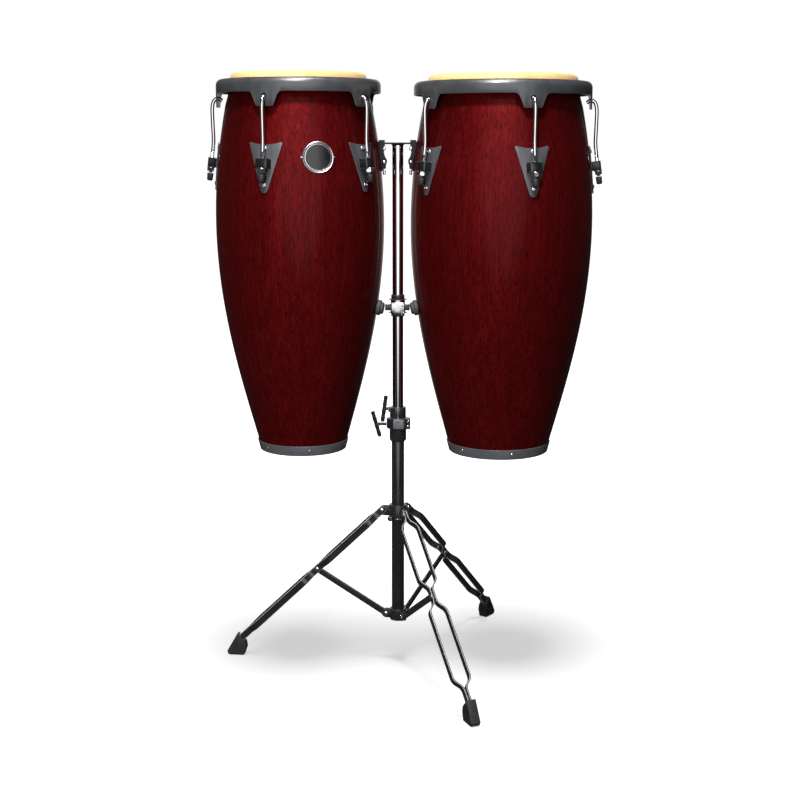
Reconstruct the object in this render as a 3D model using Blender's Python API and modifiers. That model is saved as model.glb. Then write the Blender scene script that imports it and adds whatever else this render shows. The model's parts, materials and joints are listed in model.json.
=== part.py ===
"""Two conga drums on a double stand with a folding tripod base.

The small drum (10-inch head) is on the left, the large drum (11-inch head) on the right,
as seen from the player's side, which is -Y. Units are metres and +Z is up. The origin is
on the floor under the middle of the whole set.

Directions around an axis are angles from -Y, positive towards +X. Pieces that repeat
around an axis are made once, facing -Y, and turned into place.
"""

import math

import bmesh
import bpy
from mathutils import Matrix, Vector

COLLECTION_NAME = "conga_drums"

# Clearances and facets
GAP = 0.0003
ROUND_STEPS = 30
TUBE_STEPS = 20
SMALL_STEPS = 12
SHEET_STEPS = 6
ROD_BEVEL_RESOLUTION = 2
MERGE_DISTANCE = 0.00005
# How far pieces reach into each other before they are joined, and cutters past what they cut
OVERLAP = 0.0020

# The post stands a little off the origin, so that the whole set is centred on it
POST_X = -0.0105
POST_Y = 0.0180

# Drums: axis position along X from the post, head radius, height of the shell's bottom, and how
# much lower the lugs sit on the shell
LEFT_DRUM = {
    "side": "left",
    "axis_x": -0.187,
    "head_radius": 0.1270,
    "bottom_z": 0.4485,
    "lug_drop": 0.0,
    "lug_angles": (-19.2, 52.8, 124.8, 196.8, 268.8),
    "bracket_angle": 90.0,
}
RIGHT_DRUM = {
    "side": "right",
    "axis_x": 0.198,
    "head_radius": 0.1397,
    "bottom_z": 0.4445,
    "lug_drop": 0.0025,
    "lug_angles": (15.1, -56.9, -128.9, -200.9, -272.9),
    "bracket_angle": -90.0,
}

# Shell: its outer radius is the head's radius plus a curve that peaks at the belly
SHELL_WALL = 0.0110
BELLY_HEIGHT = 0.440
BELLY_SWELL = 0.0338
BELLY_CURVE = 0.4987
BELLY_RELIEF = 0.4838
CURVE_TOP = 0.660
CURVE_ROWS = 6
INSIDE_HEIGHTS = (0.0, 0.18, 0.36, 0.56, 0.68)
BEARING_EDGE = ((-0.0045, 0.7165), (-0.0018, 0.7148), (0.0005, 0.7020), (0.0035, 0.6850))
BEARING_THICKNESS = 0.0040

# Bottom ring
RING_HEIGHT = 0.0175
RING_WALL = 0.0021
RING_TOP_WALL = 0.0015
RING_FOOT_WALL = 0.0008
RING_LIP = 0.0025

# Head: skin over the bearing edge, gripped by a flesh hoop under the rim
SKIN_TOP = 0.7183
SKIN_OUTSIDE = ((-0.0065, 0.7183), (-0.0010, 0.7158), (0.0016, 0.7060))
FLESH_HOOP = ((0.0034, 0.6955), (0.0080, 0.6955), (0.0080, 0.6895), (0.0036, 0.6895))
SKIN_INSIDE = ((0.0020, 0.6955), (0.0004, 0.7050), (-0.0012, 0.7154), (-0.0045, 0.7170))
SKIN_UNDERSIDE = 0.7170

# Rim: a pressed hoop with a rounded shoulder and five ears
EAR_BOTTOM = 0.6545
BAND_BOTTOM = 0.6805
RIM_SECTION = (
    (0.0032, 0.7050), (0.0190, 0.7056), (0.0262, 0.7015), (0.0280, 0.6950), (0.0280, EAR_BOTTOM),
    (0.0252, EAR_BOTTOM), (0.0252, 0.6960), (0.0080, 0.7015), (0.0068, 0.6958), (0.0038, 0.6958),
)
RIM_REACH = 0.0280
HALF_PITCH = 36.0
# One side of an ear: half its width and height, from the band down
EAR_SIDE = (
    (0.0352, BAND_BOTTOM), (0.0310, 0.6795), (0.0270, 0.6765), (0.0243, 0.6722),
    (0.0190, 0.6580), (0.0168, EAR_BOTTOM),
)
# Start and length of the rim's cutters, as shares of its radius
WINDOW_CUT = (0.80, 0.30)
HOLE_CUT = (0.95, 0.10)
HOOK_HOLE_Z = 0.6720
HOOK_HOLE_RADIUS = 0.00525
HOOK_SLOT_HALF = 0.0025

# Lugs: a curved side plate with a block that the hook rod passes through
PLATE_TOP = 0.5905
PLATE_TIP = 0.5005
PLATE_HALF_WIDTH = 0.0322
PLATE_TIP_RADIUS = 0.0070
PLATE_THICKNESS = 0.0020
PLATE_CORNER = 0.0020
PLATE_DIP = 0.0042
PLATE_DIP_MIDWAY = 0.0030
PLATE_CUT = 0.0600
LUG_Z = 0.55325
LUG_REACH = 0.0411
LUG_SLOPE = 0.1333
BLOCK_SIZE = (0.0250, 0.0187, 0.0175)
BLOCK_BACK = 0.0127
BLOCK_ROUNDING = 0.0050
LUG_HOLE_RADIUS = 0.0044

# Hook rods: reach beyond the head's radius and height above the shell's bottom
ROD_RADIUS = 0.00365
ROD_BEND = (
    (0.0190, 0.6675), (0.0225, 0.6705), (0.0266, 0.6715), (0.0308, 0.6700), (0.0342, 0.6664),
    (0.0364, 0.6600), (0.0375, 0.6450), (0.0363, 0.5955), (0.0373, 0.5815),
)
# Below the lug: height and size of the rod, whose end carries a cap
ROD_END = ((0.5330, 1.0), (0.5327, 1.64), (0.5180, 1.55))

# Tuning nuts: a flange under the block and a hexagon below it
FLANGE_RADIUS = 0.0080
FLANGE_THICKNESS = 0.0016
NUT_CORNER_RADIUS = 0.0074
NUT_HEIGHT = 0.0062
NUT_BORE_RADIUS = 0.0045

# Crossbar on top of the post, and the drum brackets that hook over its ends
BAR_BOTTOM = 1.0352
BAR_TOP = 1.0385
BAR_HALF_DEPTH = 0.0155
BAR_END_SETBACK = 0.0055
PEG_SETBACK = 0.0095
PEG_RADIUS = 0.0022
PEG_HOLE_RADIUS = 0.0028
PEG_LENGTH = 0.0110
BRACKET_BACK_BOTTOM = 0.9850
BRACKET_BACK_TOP = 1.0400
BRACKET_HALF_WIDTH = 0.0205
BRACKET_BACK_THICKNESS = 0.0030
BRACKET_ROOT = 0.0012
BRACKET_ROOT_TAPER = (0.0005, 0.0008)
CHEEK_THICKNESS = 0.0040
CAP_THICKNESS = 0.0040
CHEEK_PROFILE = (
    (0.0125, 1.0400), (0.0125, 1.0300), (0.0105, 1.0200), (0.0125, 1.0120), (0.0160, 1.0060),
    (0.0165, 1.0020), (0.0145, 0.9960), (0.0140, 0.9895),
)

# Post and lower tube
POST_RADIUS = 0.0106
POST_WALL = 0.0015
POST_BOTTOM = 0.3300
POST_CAP = 0.0030
TUBE_RADIUS = 0.0124
TUBE_BORE = 0.0109
TUBE_BOTTOM = 0.0915
TUBE_TOP = 0.5000

# Support clamp with its two bumpers
SUPPORT_Z = 0.7240
SUPPORT_SECTION = (
    (0.0130, 0.0250), (0.0130, 0.0165), (0.0178, 0.0165), (0.0178, 0.0152), (0.0142, 0.0152),
    (0.0142, -0.0092), (0.0178, -0.0092), (0.0178, -0.0105), (0.0130, -0.0105), (0.0130, -0.0170),
)
SUPPORT_BLOCK = ((-0.0130, -0.0300, -0.0125), (0.0130, -0.0110, 0.0125))
SUPPORT_ROUNDING = 0.0012
ARM_FRONT = -0.0275
ARM_BACK = -0.0215
ARM_HALF_HEIGHT = 0.0060
ARM_RISE = 0.0030
ARM_LEFT_END = -0.0246
ARM_RIGHT_END = 0.0230
BUMPER_ANGLE = 9.0
BUMPER_PROFILE = (
    (0.0, 0.0), (0.0130, 0.0), (0.0150, -0.0020), (0.0150, -0.0070), (0.0120, -0.0085),
    (0.0110, -0.0130), (0.0, -0.0130),
)

# Height clamp, memory lock and their T-bolts
CLAMP_BORE = 0.0127
POST_BORE = 0.0109
CLAMP_SECTION = (
    (0.0165, 0.5060), (0.0165, 0.4620), (0.0140, 0.4585), (CLAMP_BORE, 0.4585),
    (CLAMP_BORE, 0.5010), (POST_BORE, 0.5010), (POST_BORE, 0.5060),
)
CLAMP_BAND = ((-0.0225, 0.0), (-0.0180, -0.0130), (-0.0090, -0.0195), (0.0116, -0.0195),
              (0.0150, -0.0170), (0.0245, -0.0150), (0.0245, 0.0030), (0.0165, 0.0120),
              (-0.0165, 0.0120))
CLAMP_BAND_Z = (0.4850, 0.5050)
LOCK_SECTION = ((0.0158, 0.5270), (0.0158, 0.5070), (POST_BORE, 0.5070), (POST_BORE, 0.5270))
LOCK_BOSS = ((-0.0190, -0.0065, 0.5175), (-0.0130, 0.0065, 0.5270))
T_BAR_RADIUS = 0.0042
T_BAR_HALF = 0.0265
T_BAR_SIDES = 8
T_BAR_ROUNDING = 0.0010
T_BAR_END_ANGLE = 60.0
T_ROD_RADIUS = 0.0032
UPPER_T = {"name": "memory_lock_t_bolt", "seat_x": -0.0193, "end_x": -0.0312, "z": 0.5232, "lean": 8.0}
LOWER_T = {"name": "height_clamp_t_bolt", "seat_x": -0.0228, "end_x": -0.0470, "z": 0.4925, "lean": -16.0}

# Tripod: pivots in a leg's own vertical plane, given as (distance from the tube's axis, height)
LEG_ANGLES = (23.9, 143.9, 263.9)
LEG_PIVOT = (0.0325, 0.3160)
LEG_END = (0.3300, 0.0301)
BRACE_JOINT_DISTANCE = 0.1838
BRACE_PIVOT = (0.0245, 0.1002)
STRAP_THICKNESS = 0.0026
STRAP_WIDTH = 0.0142
STRAP_CLOSED = 0.0029
STRAP_SPREAD = 0.0175
STRAP_BEND = 0.0150
STRAP_TOP = 0.0090
PINCH_HALF = 0.0165
FOOT_PINCH = 0.0530
FOOT_RIVET = 0.0045
RIVET_RADIUS = 0.0030
RIVET_HOLE = 0.0036
BRACE_HALF_WIDTH = 0.0065
BRACE_THICKNESS = 0.0026
BRACE_PIN_RADIUS = 0.0027
BRACE_HOLE = 0.0034
COLLAR_RADIUS = 0.0175
COLLAR_Z = (0.2980, 0.3290)
COLLAR_TAB_HALF = 0.0013
COLLAR_TAB = ((0.0140, 0.3050), (0.0385, 0.3265))
HUB_RADIUS = 0.0163
HUB_Z = (0.0915, 0.1120)
HUB_FLOOR = 0.0890
HUB_EAR = ((0.0140, 0.0920), (0.0325, 0.1100))
HUB_EAR_THICKNESS = 0.0030

# Rubber feet
FOOT_OUTLINE = ((0.3185, 0.0), (0.3500, 0.0), (0.3540, 0.0070), (0.3322, 0.0453), (0.3148, 0.0273),
                (0.3133, 0.0160))
FOOT_HALF_WIDTH = 0.0096
FOOT_ROUNDING = 0.0020
FOOT_POCKET_TOP = 0.0560


# Materials: colour, metallic, roughness
MATERIALS = {
    "shell_lacquer": ((0.20, 0.012, 0.010), 0.0, 0.12),
    "ring_black": ((0.012, 0.012, 0.013), 0.0, 0.18),
    "skin": ((0.86, 0.78, 0.58), 0.0, 0.55),
    "rim_black": ((0.035, 0.036, 0.040), 0.6, 0.38),
    "plate_black": ((0.040, 0.042, 0.046), 0.6, 0.42),
    "rod_chrome": ((0.80, 0.80, 0.82), 1.0, 0.06),
    "nut_chrome": ((0.78, 0.78, 0.80), 1.0, 0.10),
    "bracket_black": ((0.020, 0.020, 0.022), 0.5, 0.35),
    "post_chrome": ((0.82, 0.82, 0.84), 1.0, 0.04),
    "tube_black": ((0.010, 0.010, 0.011), 0.3, 0.22),
    "clamp_chrome": ((0.70, 0.70, 0.72), 1.0, 0.18),
    "clamp_black": ((0.022, 0.023, 0.026), 0.4, 0.35),
    "t_bolt_black": ((0.018, 0.018, 0.020), 0.5, 0.38),
    "strap_black": ((0.014, 0.014, 0.016), 0.4, 0.30),
    "bumper_rubber": ((0.060, 0.062, 0.068), 0.0, 0.70),
    "foot_rubber": ((0.014, 0.014, 0.015), 0.0, 0.65),
}


def clear_scene():
    for obj in list(bpy.data.objects):
        bpy.data.objects.remove(obj, do_unlink=True)


def make_material(name):
    color, metallic, roughness = MATERIALS[name]
    material = bpy.data.materials.new(name)
    material.use_nodes = True
    shader = material.node_tree.nodes["Principled BSDF"]
    shader.inputs["Base Color"].default_value = (*color, 1.0)
    shader.inputs["Metallic"].default_value = metallic
    shader.inputs["Roughness"].default_value = roughness
    material.diffuse_color = (*color, 1.0)
    return material


# ---------------------------------------------------------------- making shapes

def placed(mesh, matrix):
    """The same mesh, moved by a matrix."""
    mesh.transform(matrix)
    return mesh


def baked(data, modifiers=()):
    """Turn a mesh or a curve with modifiers into one plain closed mesh."""
    obj = bpy.data.objects.new("work", data)
    bpy.context.scene.collection.objects.link(obj)
    for kind, settings in modifiers:
        modifier = obj.modifiers.new(kind.lower(), kind)
        for key, value in settings.items():
            setattr(modifier, key, value)
    graph = bpy.context.evaluated_depsgraph_get()
    mesh = bpy.data.meshes.new_from_object(obj.evaluated_get(graph), depsgraph=graph)
    bpy.data.objects.remove(obj, do_unlink=True)
    body = bmesh.new()
    body.from_mesh(mesh)
    bmesh.ops.remove_doubles(body, verts=body.verts, dist=MERGE_DISTANCE)
    bmesh.ops.recalc_face_normals(body, faces=body.faces)
    body.to_mesh(mesh)
    body.free()
    return mesh


def boolean(mesh, other, operation):
    """Join, cut or intersect a mesh with another, which is used up."""
    tool = bpy.data.objects.new("tool", other)
    bpy.context.scene.collection.objects.link(tool)
    tool.hide_render = True
    tool.display_type = "WIRE"
    settings = {"operation": operation, "solver": "EXACT", "object": tool}
    result = baked(mesh, [("BOOLEAN", settings)])
    bpy.data.objects.remove(tool, do_unlink=True)
    return result


def union(mesh, *others):
    for other in others:
        mesh = boolean(mesh, other, "UNION")
    return mesh


def cut(mesh, *others):
    for other in others:
        mesh = boolean(mesh, other, "DIFFERENCE")
    return mesh


def together(meshes):
    """Several separate bodies in one mesh, for use as a cutter."""
    body = bmesh.new()
    for mesh in meshes:
        body.from_mesh(mesh)
    joined = bpy.data.meshes.new("together")
    body.to_mesh(joined)
    body.free()
    return joined


def turned(profile, steps, closed=True, angle=360.0, modifiers=()):
    """A profile of (radius, height) points at +X, turned about Z."""
    count = len(profile)
    edges = [(i, i + 1) for i in range(count - 1)]
    if closed:
        edges.append((count - 1, 0))
    mesh = bpy.data.meshes.new("profile")
    mesh.from_pydata([(radius, 0.0, height) for radius, height in profile], edges, [])
    screw = {
        "angle": math.radians(angle),
        "steps": steps,
        "render_steps": steps,
        "use_merge_vertices": True,
        "merge_threshold": MERGE_DISTANCE,
    }
    return baked(mesh, [("SCREW", screw), *modifiers])


def outline_solid(outlines, thickness):
    """Closed outlines in the XY plane, filled and given a thickness along Z."""
    curve = bpy.data.curves.new("outline", "CURVE")
    curve.dimensions = "2D"
    curve.fill_mode = "BOTH"
    curve.extrude = thickness / 2
    for outline in outlines:
        spline = curve.splines.new("POLY")
        spline.points.add(len(outline) - 1)
        for point, (x, y) in zip(spline.points, outline):
            point.co = (x, y, 0.0, 1.0)
        spline.use_cyclic_u = True
    return baked(curve)


def bent_rod(points, radius, sizes):
    """A round rod along points; sizes scale its radius at each of them."""
    curve = bpy.data.curves.new("rod", "CURVE")
    curve.dimensions = "3D"
    curve.bevel_depth = radius
    curve.bevel_resolution = ROD_BEVEL_RESOLUTION
    curve.use_fill_caps = True
    spline = curve.splines.new("POLY")
    spline.points.add(len(points) - 1)
    for point, place, size in zip(spline.points, points, sizes):
        point.co = (*place, 1.0)
        point.radius = size
    return baked(curve)


def box(low, high):
    low, high = Vector(low), Vector(high)
    size = high - low
    body = bmesh.new()
    matrix = Matrix.Translation((low + high) / 2) @ Matrix.Diagonal((*size, 1.0))
    bmesh.ops.create_cube(body, size=1.0, matrix=matrix)
    mesh = bpy.data.meshes.new("box")
    body.to_mesh(mesh)
    body.free()
    return mesh


def cylinder(start, end, radius, steps):
    """A cylinder between two points."""
    start, end = Vector(start), Vector(end)
    along = end - start
    turn = along.to_track_quat("Z", "Y").to_matrix().to_4x4()
    body = bmesh.new()
    matrix = Matrix.Translation((start + end) / 2) @ turn
    bmesh.ops.create_cone(
        body, cap_ends=True, segments=steps, radius1=radius, radius2=radius, depth=along.length, matrix=matrix
    )
    mesh = bpy.data.meshes.new("cylinder")
    body.to_mesh(mesh)
    body.free()
    return mesh


def rounded(mesh, width, segments, low_angle=30.0):
    settings = {
        "width": width,
        "segments": segments,
        "limit_method": "ANGLE",
        "angle_limit": math.radians(low_angle),
    }
    return baked(mesh, [("BEVEL", settings)])


def arc(centre, radius, start, end, count):
    """Points of an arc in the plane, with angles in degrees from +X."""
    points = []
    for step in range(count + 1):
        angle = math.radians(start + (end - start) * step / count)
        points.append((centre[0] + radius * math.cos(angle), centre[1] + radius * math.sin(angle)))
    return points


def turn_about_z(degrees):
    return Matrix.Rotation(math.radians(degrees), 4, "Z")


def side_view():
    """Takes a drawing's X to -Y, its Y to +Z and its thickness to the side."""
    return Matrix(((0, 0, -1, 0), (-1, 0, 0, 0), (0, 1, 0, 0), (0, 0, 0, 1)))


def front_view():
    """Takes a drawing's X to +X, its Y to +Z and its thickness to the front and back."""
    return Matrix.Rotation(math.radians(90.0), 4, "X")


class Assembly:
    """Adds the finished pieces to the collection."""

    def __init__(self):
        self.collection = bpy.data.collections.new(COLLECTION_NAME)
        bpy.context.scene.collection.children.link(self.collection)
        self.materials = {name: make_material(name) for name in MATERIALS}

    def empty(self, name, location):
        obj = bpy.data.objects.new(name, None)
        obj.empty_display_size = 0.05
        obj.location = location
        self.collection.objects.link(obj)
        return obj

    def add(self, name, mesh, material, parent, matrix=None, sharp_angle=35.0):
        if not mesh.materials:
            mesh.materials.append(self.materials[material])
            mesh.shade_smooth()
            mesh.set_sharp_from_angle(angle=math.radians(sharp_angle))
        mesh.name = name
        obj = bpy.data.objects.new(name, mesh)
        self.collection.objects.link(obj)
        obj.parent = parent
        obj.matrix_local = matrix or Matrix.Identity(4)
        return obj


# ---------------------------------------------------------------- drums

def shell_reach(height):
    """How far the shell's outside stands beyond the head's radius at a height above its bottom."""
    away = height - BELLY_HEIGHT
    return BELLY_SWELL - BELLY_CURVE * away**2 + BELLY_RELIEF * away**4


def shell_slope(height):
    away = height - BELLY_HEIGHT
    return -2 * BELLY_CURVE * away + 4 * BELLY_RELIEF * away**3


def shell_mesh(head_radius):
    outside = [(head_radius + reach, height) for reach, height in BEARING_EDGE]
    for row in range(CURVE_ROWS + 1):
        height = CURVE_TOP * (1 - row / CURVE_ROWS)
        outside.append((head_radius + shell_reach(height), height))
    inside = []
    for height in INSIDE_HEIGHTS:
        inside.append((head_radius + shell_reach(height) - SHELL_WALL, height))
    edge_reach, edge_height = BEARING_EDGE[0]
    inside.append((head_radius + edge_reach - BEARING_THICKNESS, edge_height - BEARING_THICKNESS))
    return turned(outside + inside, ROUND_STEPS)


def bottom_ring_mesh(head_radius):
    foot = head_radius + shell_reach(0.0)
    top = head_radius + shell_reach(RING_HEIGHT)
    lip = foot - SHELL_WALL / 2
    profile = [
        (top + GAP + RING_TOP_WALL, RING_HEIGHT),
        (foot + GAP + RING_WALL, 0.0),
        (foot + GAP + RING_FOOT_WALL, -RING_LIP),
        (lip, -RING_LIP),
        (lip, -GAP),
        (foot + GAP, -GAP),
        (top + GAP, RING_HEIGHT),
    ]
    return turned(profile, ROUND_STEPS)


def head_mesh(head_radius):
    profile = [(0.0, SKIN_TOP)]
    profile += [(head_radius + reach, height) for reach, height in SKIN_OUTSIDE + FLESH_HOOP + SKIN_INSIDE]
    profile.append((0.0, SKIN_UNDERSIDE))
    return turned(profile, ROUND_STEPS, closed=False)


def window_outline(rim_radius):
    """The opening between two ears, drawn flat."""
    middle = math.radians(HALF_PITCH)
    right = [(rim_radius * math.sin(middle - half / rim_radius), z) for half, z in EAR_SIDE]
    right.append((right[-1][0], EAR_BOTTOM - OVERLAP))
    left = [(-x, z) for x, z in reversed(right)]
    return right + left


def keyhole_outline():
    """Round hole for the hook, with a slot down to the ear's bottom."""
    edge = math.degrees(math.asin(HOOK_SLOT_HALF / HOOK_HOLE_RADIUS))
    circle = arc((0.0, HOOK_HOLE_Z), HOOK_HOLE_RADIUS, -90 + edge, 270 - edge, 10)
    below = EAR_BOTTOM - OVERLAP
    return circle + [(-HOOK_SLOT_HALF, below), (HOOK_SLOT_HALF, below)]


def radial_cutter(outline, start, length):
    """An outline drawn facing -Y, carried outwards from a distance for a length."""
    mesh = placed(outline_solid([outline], length), front_view())
    return placed(mesh, Matrix.Translation((0.0, -start - length / 2, 0.0)))


def rim_mesh(head_radius, lug_angles):
    rim_radius = head_radius + RIM_REACH
    hoop = turned([(head_radius + reach, height) for reach, height in RIM_SECTION], ROUND_STEPS)
    windows = []
    holes = []
    for angle in lug_angles:
        window = radial_cutter(window_outline(rim_radius), *[rim_radius * share for share in WINDOW_CUT])
        windows.append(placed(window, turn_about_z(angle + HALF_PITCH)))
        hole = radial_cutter(keyhole_outline(), *[rim_radius * share for share in HOLE_CUT])
        holes.append(placed(hole, turn_about_z(angle)))
    return cut(hoop, together(windows), together(holes))


def rod_axis(head_radius, height):
    """A point on the straight lower part of a hook rod, which also is the axis of its lug."""
    return (0.0, -(head_radius + LUG_REACH - LUG_SLOPE * (height - LUG_Z)), height)


def lug_frame(head_radius, drop):
    """Frame at the middle of the lug's hole: +Z up along the rod, -Y outwards."""
    place = Matrix.Translation(rod_axis(head_radius, LUG_Z - drop))
    return place @ Matrix.Rotation(-math.atan(LUG_SLOPE), 4, "X")


def curved_sheet(head_radius, bottom, top, thickness, half_width):
    """A sheet that lies on the shell around -Y, straight from top to bottom and wide enough to trim."""
    middle = (bottom + top) / 2
    radius = head_radius + shell_reach(middle) + GAP
    slope = shell_slope(middle)
    profile = [(radius + slope * (top - middle), top), (radius + slope * (bottom - middle), bottom)]
    angle = math.degrees(2 * (half_width + 2 * OVERLAP) / radius)
    sheet = turned(
        profile, SHEET_STEPS, closed=False, angle=angle,
        modifiers=[("SOLIDIFY", {"thickness": thickness, "offset": 1.0})],
    )
    return placed(sheet, turn_about_z(-90.0 - angle / 2))


def side_plate_mesh(head_radius, drop):
    """A plate that comes to a point below, with the block that the rod passes through."""
    tip_z, top_z = PLATE_TIP - drop, PLATE_TOP - drop
    sheet = curved_sheet(head_radius, tip_z, top_z, PLATE_THICKNESS, PLATE_HALF_WIDTH)
    tip = arc((0.0, tip_z + PLATE_TIP_RADIUS), PLATE_TIP_RADIUS, -165.0, -15.0, 6)
    outline = tip + [
        (PLATE_HALF_WIDTH, top_z - PLATE_CORNER),
        (PLATE_HALF_WIDTH - PLATE_CORNER, top_z),
        (PLATE_HALF_WIDTH / 2, top_z - PLATE_DIP_MIDWAY),
        (0.0, top_z - PLATE_DIP),
        (-PLATE_HALF_WIDTH / 2, top_z - PLATE_DIP_MIDWAY),
        (-PLATE_HALF_WIDTH + PLATE_CORNER, top_z),
        (-PLATE_HALF_WIDTH, top_z - PLATE_CORNER),
    ]
    triangle = radial_cutter(outline, head_radius, PLATE_CUT)
    plate = boolean(sheet, triangle, "INTERSECT")
    width, depth, height = BLOCK_SIZE
    block = box((-width / 2, BLOCK_BACK - depth, -height / 2), (width / 2, BLOCK_BACK, height / 2))
    bore = cylinder((0, 0, -height), (0, 0, height), LUG_HOLE_RADIUS, SMALL_STEPS)
    block = upright_rounding(block)
    frame = lug_frame(head_radius, drop)
    return cut(union(plate, placed(block, frame)), placed(bore, frame))


def upright_rounding(block):
    """Rounds a block's two upright front edges."""
    body = bmesh.new()
    body.from_mesh(block)
    front = min(vert.co.y for vert in body.verts)
    edges = []
    for edge in body.edges:
        a, b = edge.verts
        upright = abs(a.co.z - b.co.z) > 1e-5
        if upright and abs(a.co.y - front) < 1e-5:
            edges.append(edge)
    bmesh.ops.bevel(body, geom=edges, offset=BLOCK_ROUNDING, segments=3, profile=0.5, affect="EDGES")
    body.to_mesh(block)
    body.free()
    return block


def hook_rod_mesh(head_radius, drop):
    """A rod that hooks into the rim's ear and runs down through the lug to its end cap."""
    points = [(0.0, -(head_radius + reach), height) for reach, height in ROD_BEND]
    sizes = [1.0] * len(points)
    for height, size in ROD_END:
        points.append(rod_axis(head_radius, height - drop))
        sizes.append(size)
    return bent_rod(points, ROD_RADIUS, sizes)


def tuning_nut_mesh():
    """Nut about its own Z axis, with its top face at the underside of the lug block."""
    top = -BLOCK_SIZE[2] / 2 - GAP
    under = top - FLANGE_THICKNESS
    bottom = under - NUT_HEIGHT
    flange = cylinder((0, 0, under), (0, 0, top), FLANGE_RADIUS, SMALL_STEPS)
    hexagon = cylinder((0, 0, bottom), (0, 0, top - FLANGE_THICKNESS / 2), NUT_CORNER_RADIUS, 6)
    bore = cylinder((0, 0, bottom - OVERLAP), (0, 0, top + OVERLAP), NUT_BORE_RADIUS, SMALL_STEPS)
    return cut(union(flange, hexagon), bore)


def bracket_mesh(drum):
    """Bracket facing -Y, in the drum's frame, with its heights taken from the floor."""
    head_radius = drum["head_radius"]
    lift = -drum["bottom_z"]
    bottom = BRACKET_BACK_BOTTOM + lift
    top = BRACKET_BACK_TOP + lift
    back = curved_sheet(head_radius, bottom, top, BRACKET_BACK_THICKNESS, BRACKET_HALF_WIDTH)
    far = 2 * head_radius
    trim = box((-BRACKET_HALF_WIDTH, -far, bottom - OVERLAP), (BRACKET_HALF_WIDTH, 0.0, top + OVERLAP))
    back = boolean(back, trim, "INTERSECT")
    shell_at_bar = head_radius + shell_reach(BAR_TOP + lift)
    low_taper, high_taper = BRACKET_ROOT_TAPER
    cheek_bottom = CHEEK_PROFILE[-1][1] + lift
    low_root = head_radius + shell_reach(cheek_bottom) + BRACKET_ROOT + low_taper
    profile = [(shell_at_bar + out, height + lift) for out, height in CHEEK_PROFILE]
    profile += [(low_root, cheek_bottom), (shell_at_bar + BRACKET_ROOT + high_taper, top)]
    solid = back
    for side in (-1, 1):
        cheek = placed(outline_solid([profile], CHEEK_THICKNESS), side_view())
        offset = side * (BRACKET_HALF_WIDTH - CHEEK_THICKNESS / 2)
        solid = union(solid, placed(cheek, Matrix.Translation((offset, 0.0, 0.0))))
    cap_bottom = BAR_TOP + 2 * GAP + lift
    cap = box(
        (-BRACKET_HALF_WIDTH, -(shell_at_bar + CHEEK_PROFILE[0][0]), cap_bottom),
        (BRACKET_HALF_WIDTH, -(shell_at_bar + BRACKET_ROOT), cap_bottom + CAP_THICKNESS),
    )
    peg_y = -(shell_at_bar + PEG_SETBACK)
    peg_ends = (0, peg_y, cap_bottom + OVERLAP), (0, peg_y, cap_bottom - PEG_LENGTH)
    peg = cylinder(*peg_ends, PEG_RADIUS, SMALL_STEPS)
    return union(solid, cap, peg)


def build_drum(assembly, drum):
    side = drum["side"]
    head_radius = drum["head_radius"]
    frame = assembly.empty(f"{side}_drum_frame", (POST_X + drum["axis_x"], POST_Y, drum["bottom_z"]))
    assembly.add(f"{side}_shell", shell_mesh(head_radius), "shell_lacquer", frame)
    assembly.add(f"{side}_bottom_ring", bottom_ring_mesh(head_radius), "ring_black", frame)
    assembly.add(f"{side}_head", head_mesh(head_radius), "skin", frame)
    assembly.add(f"{side}_rim", rim_mesh(head_radius, drum["lug_angles"]), "rim_black", frame)
    bracket = bracket_mesh(drum)
    assembly.add(f"{side}_bracket", bracket, "bracket_black", frame, turn_about_z(drum["bracket_angle"]))
    drop = drum["lug_drop"]
    plate = side_plate_mesh(head_radius, drop)
    rod = hook_rod_mesh(head_radius, drop)
    nut = tuning_nut_mesh()
    for number, angle in enumerate(drum["lug_angles"], start=1):
        turn = turn_about_z(angle)
        assembly.add(f"{side}_side_plate_{number}", plate, "plate_black", frame, turn)
        assembly.add(f"{side}_hook_rod_{number}", rod, "rod_chrome", frame, turn)
        nut_place = turn @ lug_frame(head_radius, drop)
        assembly.add(f"{side}_tuning_nut_{number}", nut, "nut_chrome", frame, nut_place)


# ---------------------------------------------------------------- post and clamps

def bar_end(drum, setback):
    """X of a point on the crossbar that is set back from the drum's shell."""
    lift = -drum["bottom_z"]
    shell = drum["head_radius"] + shell_reach(BAR_TOP + lift)
    distance = abs(drum["axis_x"]) - shell - setback
    return math.copysign(distance, drum["axis_x"])


def upper_post_mesh():
    """Post tube, open below and closed above by the crossbar welded onto it."""
    inner = POST_RADIUS - POST_WALL
    ceiling = BAR_BOTTOM - POST_CAP
    profile = [
        (0.0, BAR_BOTTOM + OVERLAP), (POST_RADIUS, BAR_BOTTOM + OVERLAP), (POST_RADIUS, POST_BOTTOM),
        (inner, POST_BOTTOM), (inner, ceiling), (0.0, ceiling),
    ]
    post = turned(profile, TUBE_STEPS, closed=False)
    left = bar_end(LEFT_DRUM, BAR_END_SETBACK)
    right = bar_end(RIGHT_DRUM, BAR_END_SETBACK)
    bar = box((left, -BAR_HALF_DEPTH, BAR_BOTTOM), (right, BAR_HALF_DEPTH, BAR_TOP))
    holes = []
    for drum in (LEFT_DRUM, RIGHT_DRUM):
        x = bar_end(drum, PEG_SETBACK)
        low, high = (x, 0, BAR_BOTTOM - OVERLAP), (x, 0, BAR_TOP + OVERLAP)
        holes.append(cylinder(low, high, PEG_HOLE_RADIUS, SMALL_STEPS))
    return union(post, cut(bar, together(holes)))


def lower_tube_mesh():
    profile = [
        (TUBE_RADIUS, TUBE_TOP), (TUBE_RADIUS, TUBE_BOTTOM), (TUBE_BORE, TUBE_BOTTOM), (TUBE_BORE, TUBE_TOP),
    ]
    return turned(profile, TUBE_STEPS)


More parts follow.
